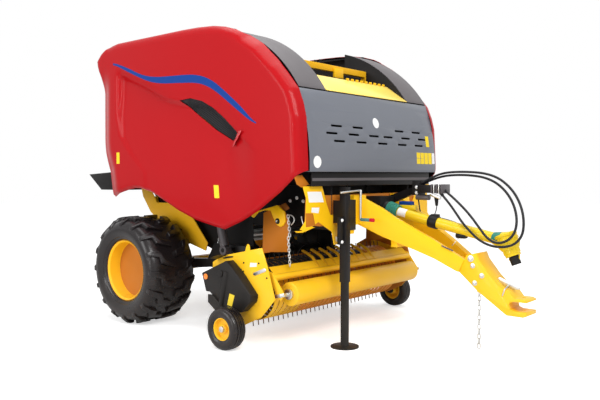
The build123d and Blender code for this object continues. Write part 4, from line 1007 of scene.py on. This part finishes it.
# Bent wires: name, finish, radius and (across, back, up) points
WIRES = (
    ("spring_hook_0", STEEL, 0.005, ((-0.8, -1.891, 1.12), (-0.8, -1.898, 1.07), (-0.8, -1.92, 1.04))),
    ("spring_hook_1", STEEL, 0.005,
     ((-0.8, -1.759, 1.128), (-0.8, -1.8, 1.12), (-0.8, -1.815, 1.07), (-0.8, -1.774, 1.04))),
    ("end_ring", GUARD, 0.005,
     ((0, -3.396, 0.794), (0, -3.448, 0.769), (0, -3.493, 0.794), (0, -3.478, 0.876))),
    ("plug_line", BLACK, 0.004, ((0.05, -2.713, 1.21), (0.045, -2.718, 1.17), (0.03, -2.7, 1.12))),
    ("guard_line", BLACK, 0.004,
     ((0.03, -2.6, 1.118), (0.03, -2.75, 1.108), (0.02, -2.92, 1.072), (0, -2.98, 1.05))),
    ("rack_line", BLACK, 0.006, ((0.09, -2.504, 1.294), (0.07, -2.52, 1.22), (0.05, -2.55, 1.15))),
)
# Clips on the top plate's rear edge, and ribs round the rack's couplers
for number in range(9):
    left = -0.04 + 0.075 * number
    BLOCKS.append((f"plate_clip_{number}", YELLOW, (left, -1.81, 2.364), (left + 0.03, -1.79, 2.384), 0.004))
for number in range(5):
    back = -2.672 - 0.024 * number
    BLOCKS.append((f"coupler_rib_{number}", STEEL if number % 2 else PIPE, (0.022, back - 0.006, 1.312),
                   (0.176, back + 0.006, 1.392), 0.004))
for name, material, back, thick, bevel, outline in FRONT_PLATES:
    put_on(plate(name, facing(outline, back), (0, thick, 0), bevel), material)
for name, material, low, high, bevel in BLOCKS:
    put_on(brick(name, low, high, bevel), material)
for name, material, start, end, *shape in BARS:
    put_on(rod(name, at(*start), at(*end), *shape), material)
for name, material, radius, route in WIRES:
    put_on(wire(name, [at(*point) for point in route], radius), material)

# Blank labels and slots: those that face forward as (across, height), those of the side as (back, height)
SHIELD_LABELS = [
    ("round_label_1", LABEL, ring(-0.008, 1.948, 0.047)),
    ("round_label_2", LABEL, ring(-0.91, 1.58, 0.05)),
    ("tall_label", NOTE, card((0.84, 1.755), (0.9, 1.862))),
    ("row_label_4", LABEL, card((0.942, 1.585), (0.99, 1.694))),
]
for number in range(4):
    left = 0.645 + 0.074 * number
    SHIELD_LABELS.append((f"row_label_{number}", NOTE, card((left, 1.582), (left + 0.066, 1.694))))
for name, material, corners in SHIELD_LABELS:
    decal(name, "front_shield_finished", corners, FROM_FRONT, material)
decal("sill_strip", "front_channel_finished", card((-0.932, 1.424), (0.932, 1.448), -2.14), FROM_FRONT, WING)
CORNER_LABELS = (
    ("corner_label", ((-0.955, 1.336), (-0.776, 1.333), (-0.74, 1.244), (-0.932, 1.247))),
    ("corner_note", ((-0.896, 1.204), (-0.799, 1.201), (-0.81, 1.153), (-0.904, 1.165))),
    ("lug_slot", ((-0.577, 0.942), (-0.552, 0.938), (-0.548, 0.898), (-0.571, 0.9))),
)
for name, outline in CORNER_LABELS:
    decal(name, "main_frame_finished", facing(outline, -2.1), FROM_FRONT, LABEL)
# The side plate's two slots are black decals as painted shade in the openings
SIDE_MARKS = (
    ("side_label", LABEL, ((-1.571, 0.724), (-1.651, 0.728), (-1.647, 0.696), (-1.567, 0.686))),
    ("side_slot_1", BLACK, ((-1.147, 0.736), (-1.285, 0.78), (-1.293, 0.768), (-1.159, 0.722))),
    ("side_slot_2", BLACK,
     ((-1.233, 0.742), (-1.302, 0.76), (-1.365, 0.765), (-1.361, 0.752), (-1.241, 0.731))),
)
for name, material, outline in SIDE_MARKS:
    decal(name, "pickup_frame_finished", flank(outline, -1.2), FROM_RIGHT, material, "pickup")
COVER_NOTE = ((-1.415, 0.454), (-1.477, 0.444), (-1.444, 0.345), (-1.385, 0.352))
decal("cover_note", "pickup_cover_right_finished", flank(COVER_NOTE, -1.3), FROM_RIGHT, NOTE, "pickup")

# Bolts: of the front corner, the jack's mount, the cheek plate, the hitch, the rack and the pickup's plate
CHEEK_BOLTS = ((-1.681, 1.268), (-1.756, 1.241), (-1.6, 1.24))
HITCH_BOLTS = (
    (-3.114, 0.79, 0.02), (-3.133, 0.733, 0.016), (-3.213, 0.658, 0.016), (-3.152, 0.592, 0.016))
SIDE_BOLTS = ((-1.494, 0.717), (-1.46, 0.656), (-1.489, 0.642), (-1.674, 0.727), (-1.767, 0.611))
stud("tube_bolt", "main_frame_finished", at(-0.465, -2.1, 1.222), FROM_FRONT, 0.02)
for up in (1.091, 0.908):
    stud(f"mount_bolt_{up:.2f}", "jack_mount", at(-0.642, -2.25, up), FROM_FRONT, 0.011, LABEL)
for up in (1.363, 1.314):
    stud(f"rack_bolt_{up:.2f}", "hose_rack_finished", at(-0.1, -2.5, up), FROM_RIGHT, 0.012, LABEL)
for number, (back, up) in enumerate(CHEEK_BOLTS):
    stud(f"cheek_bolt_{number}", "side_frame_finished", at(-0.75, back, up), FROM_RIGHT, 0.012, LABEL)
for number, (back, up, radius) in enumerate(HITCH_BOLTS):
    stud(f"hitch_bolt_{number}", "hitch_finished", at(-0.2, back, up), FROM_RIGHT, radius)
for number, (back, up) in enumerate(SIDE_BOLTS):
    stud(f"side_bolt_{number}", "pickup_frame_finished", at(-1.2, back, up), FROM_RIGHT, 0.006, BLACK, "pickup")

# Crop guide: its curved arm with a black disc as painted shade for its round hole, and a tab in shaded ochre
GUIDE_ARM = (
    (-1.311, 1.13), (-1.628, 1.209), (-1.711, 1.155), (-1.725, 1.069), (-1.696, 1.031), (-1.662, 1.016),
    (-1.623, 1.035), (-1.583, 1.092), (-1.548, 1.157), (-1.467, 1.158), (-1.395, 1.137), (-1.332, 1.085),
    (-1.308, 1.098))
GUIDE_TAB = ((-1.629, 1.203), (-1.707, 1.231), (-1.755, 1.185), (-1.707, 1.16))
GUIDE_HOLE = (-1.633, 1.068)
for side, name in SIDES:
    put_on(side_plate(f"guide_arm_{name}", GUIDE_ARM, 0.8065, 0.016, side, 0.004), YELLOW, "pickup")
    put_on(side_plate(f"guide_tab_{name}", GUIDE_TAB, 0.794, 0.006, side), BROWN, "pickup")
    put_on(cross_rod(f"guide_hole_{name}", side, 0.822, 0.8235, *GUIDE_HOLE, 0.026, 32, 0), BLACK, "pickup")
    put_on(cross_rod(f"guide_pin_{name}", side, 0.8235, 0.84, *GUIDE_HOLE, 0.009), STEEL, "pickup")

# The lift chain hangs slack between pickup and windguard: each half goes with the end that it hangs from
CHAIN_HALVES = (
    ("lift_chain_upper", 7, ((-0.84, -1.772, 1.128), (-0.844, -1.788, 1.043), (-0.85, -1.8, 0.945)), "pickup"),
    ("lift_chain_lower", 10, ((-0.868, -1.801, 0.94), (-0.872, -1.822, 0.69)), "windguard"),
)
for name, count, route, body in CHAIN_HALVES:
    put_on(links(name, route, count, 0.034, 0.02, 0.0035), STEEL, body)

# Windguard: the plate under its tines, and the bearings of the crop roller
GUARD_PLATE = ((-1.045, -1.8, 0.636), (1.045, -1.8, 0.636), (1.045, -1.738, 0.69), (-1.045, -1.738, 0.69))
ROLLER_STRAP = ((-1.785, 0.458), (-1.93, 0.497), (-1.938, 0.47), (-1.79, 0.431))
ROLLER_AXIS = (-1.89, 0.47)
GUARD_STRAP = (
    (-1.609, 0.64), (-1.74, 0.692), (-1.763, 0.68), (-1.755, 0.664), (-1.629, 0.618), (-1.605, 0.624))
put_on(plate("guard_plate", [at(*corner) for corner in GUARD_PLATE], (0, 0.004, 0.004)), YELLOW, "windguard")
for side, name in SIDES:
    strap = side_plate(f"roller_strap_{name}", ROLLER_STRAP, 1.0655, 0.006, side)
    clamp = cross_rod(f"roller_clamp_{name}", side, 0.9535, 0.975, *ROLLER_AXIS, 0.045, 32, 0.004)
    hub = cross_rod(f"roller_hub_{name}", side, 0.975, 1.074, *ROLLER_AXIS, 0.018)
    put_on(join([strap, clamp, hub], f"roller_bearing_{name}"), STEEL, "windguard")
    put_on(side_plate(f"guard_strap_{name}", GUARD_STRAP, 1.1005, 0.004, side), STEEL, "pickup")

# Side covers with their boss, pressed rib and reflector, and the gauge wheels' pale hub caps
COVER_BOSS = (-1.304, 0.617)
for side, name in SIDES:
    cover = f"pickup_cover_{name}_finished"
    face = abs(on_surface(cover, at(side * 1.3, *COVER_BOSS), (-side, 0, 0)).x)
    sunk = side * (face - 0.016)
    knob = cross_rod(f"cover_boss_{name}", side, face, face + 0.012, *COVER_BOSS, 0.03, 24, 0.004)
    rib = rod(f"cover_rib_{name}", at(sunk, -1.374, 0.64), at(sunk, -1.3, 0.33), 0.034, 24, 0.008)
    put_on(join([knob, rib], f"cover_pressing_{name}"), BLACK, "pickup")
    lens = cross_rod(f"reflector_{name}", side, face, face + 0.006, -1.111, 0.572, 0.026, 32, 0.002)
    put_on(lens, ORANGE, "pickup")
    cap = cross_rod(f"gauge_hub_{name}", side, GAUGE_X + 0.02, GAUGE_X + 0.062, GAUGE_BACK, GAUGE_R, 0.026, 24,
                    0.004)
    put_on(cap, STEEL, f"gauge_wheel_{name}")

# Jack's silver crank, and the hitch's latch plate
crank = join([rod("crank_arm", at(-0.69, -2.23, 1.325), at(-0.41, -2.23, 1.34), 0.008),
              rod("crank_drop", at(-0.41, -2.23, 1.345), at(-0.41, -2.23, 1.082), 0.011)], "crank_rod")
put_on(crank, STEEL, "chassis")
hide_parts("jack_crank")
LATCH = ((-3.31, 0.638), (-3.338, 0.651), (-3.451, 0.614), (-3.52, 0.572), (-3.452, 0.56), (-3.373, 0.58),
         (-3.322, 0.6))
put_on(side_plate("latch_plate", LATCH, 0.03, 0.005, -1), STEEL)

# Driveline: its blank label, green patch and clamp
PTO_START = at(0, -2.3, 1.15)
PTO_END = at(0, -3.388, 0.936)
PTO_R = 0.046


def shaft(share):
    """A point on the driveline's axis."""
    return PTO_START.lerp(PTO_END, share)


def sleeve(name, first, last, radii, angles):
    """Part of a sleeve round the driveline: angles in degrees from straight up, positive to the right side."""
    right = Vector((-1, 0, 0))
    top = right.cross((PTO_END - PTO_START).normalized())

    def place(u, v):
        turn = math.radians(angles[0] + u * (angles[1] - angles[0]))
        radius = radii[0] + v * (radii[1] - radii[0])
        return shaft(first + v * (last - first)) + radius * (math.cos(turn) * top + math.sin(turn) * right)

    sheet = grid(name, 20, 6, place)
    if sheet.data.polygons[0].normal.dot(sheet.data.vertices[0].co - shaft(first)) < 0:
        sheet.data.flip_normals()
    modify(sheet, "SOLIDIFY", thickness=0.0015, offset=1)
    shade(sheet)
    return sheet


put_on(sleeve("guard_label", 0.062, 0.14, (PTO_R, PTO_R), (15, 120)), LABEL)
put_on(sleeve("green_patch", 0.885, 0.945, (0.047, 0.067), (-60, 95)), GREEN)
put_on(rod("guard_clamp", shaft(0.345), shaft(0.42), 0.058, 32, 0.006), BLACK)
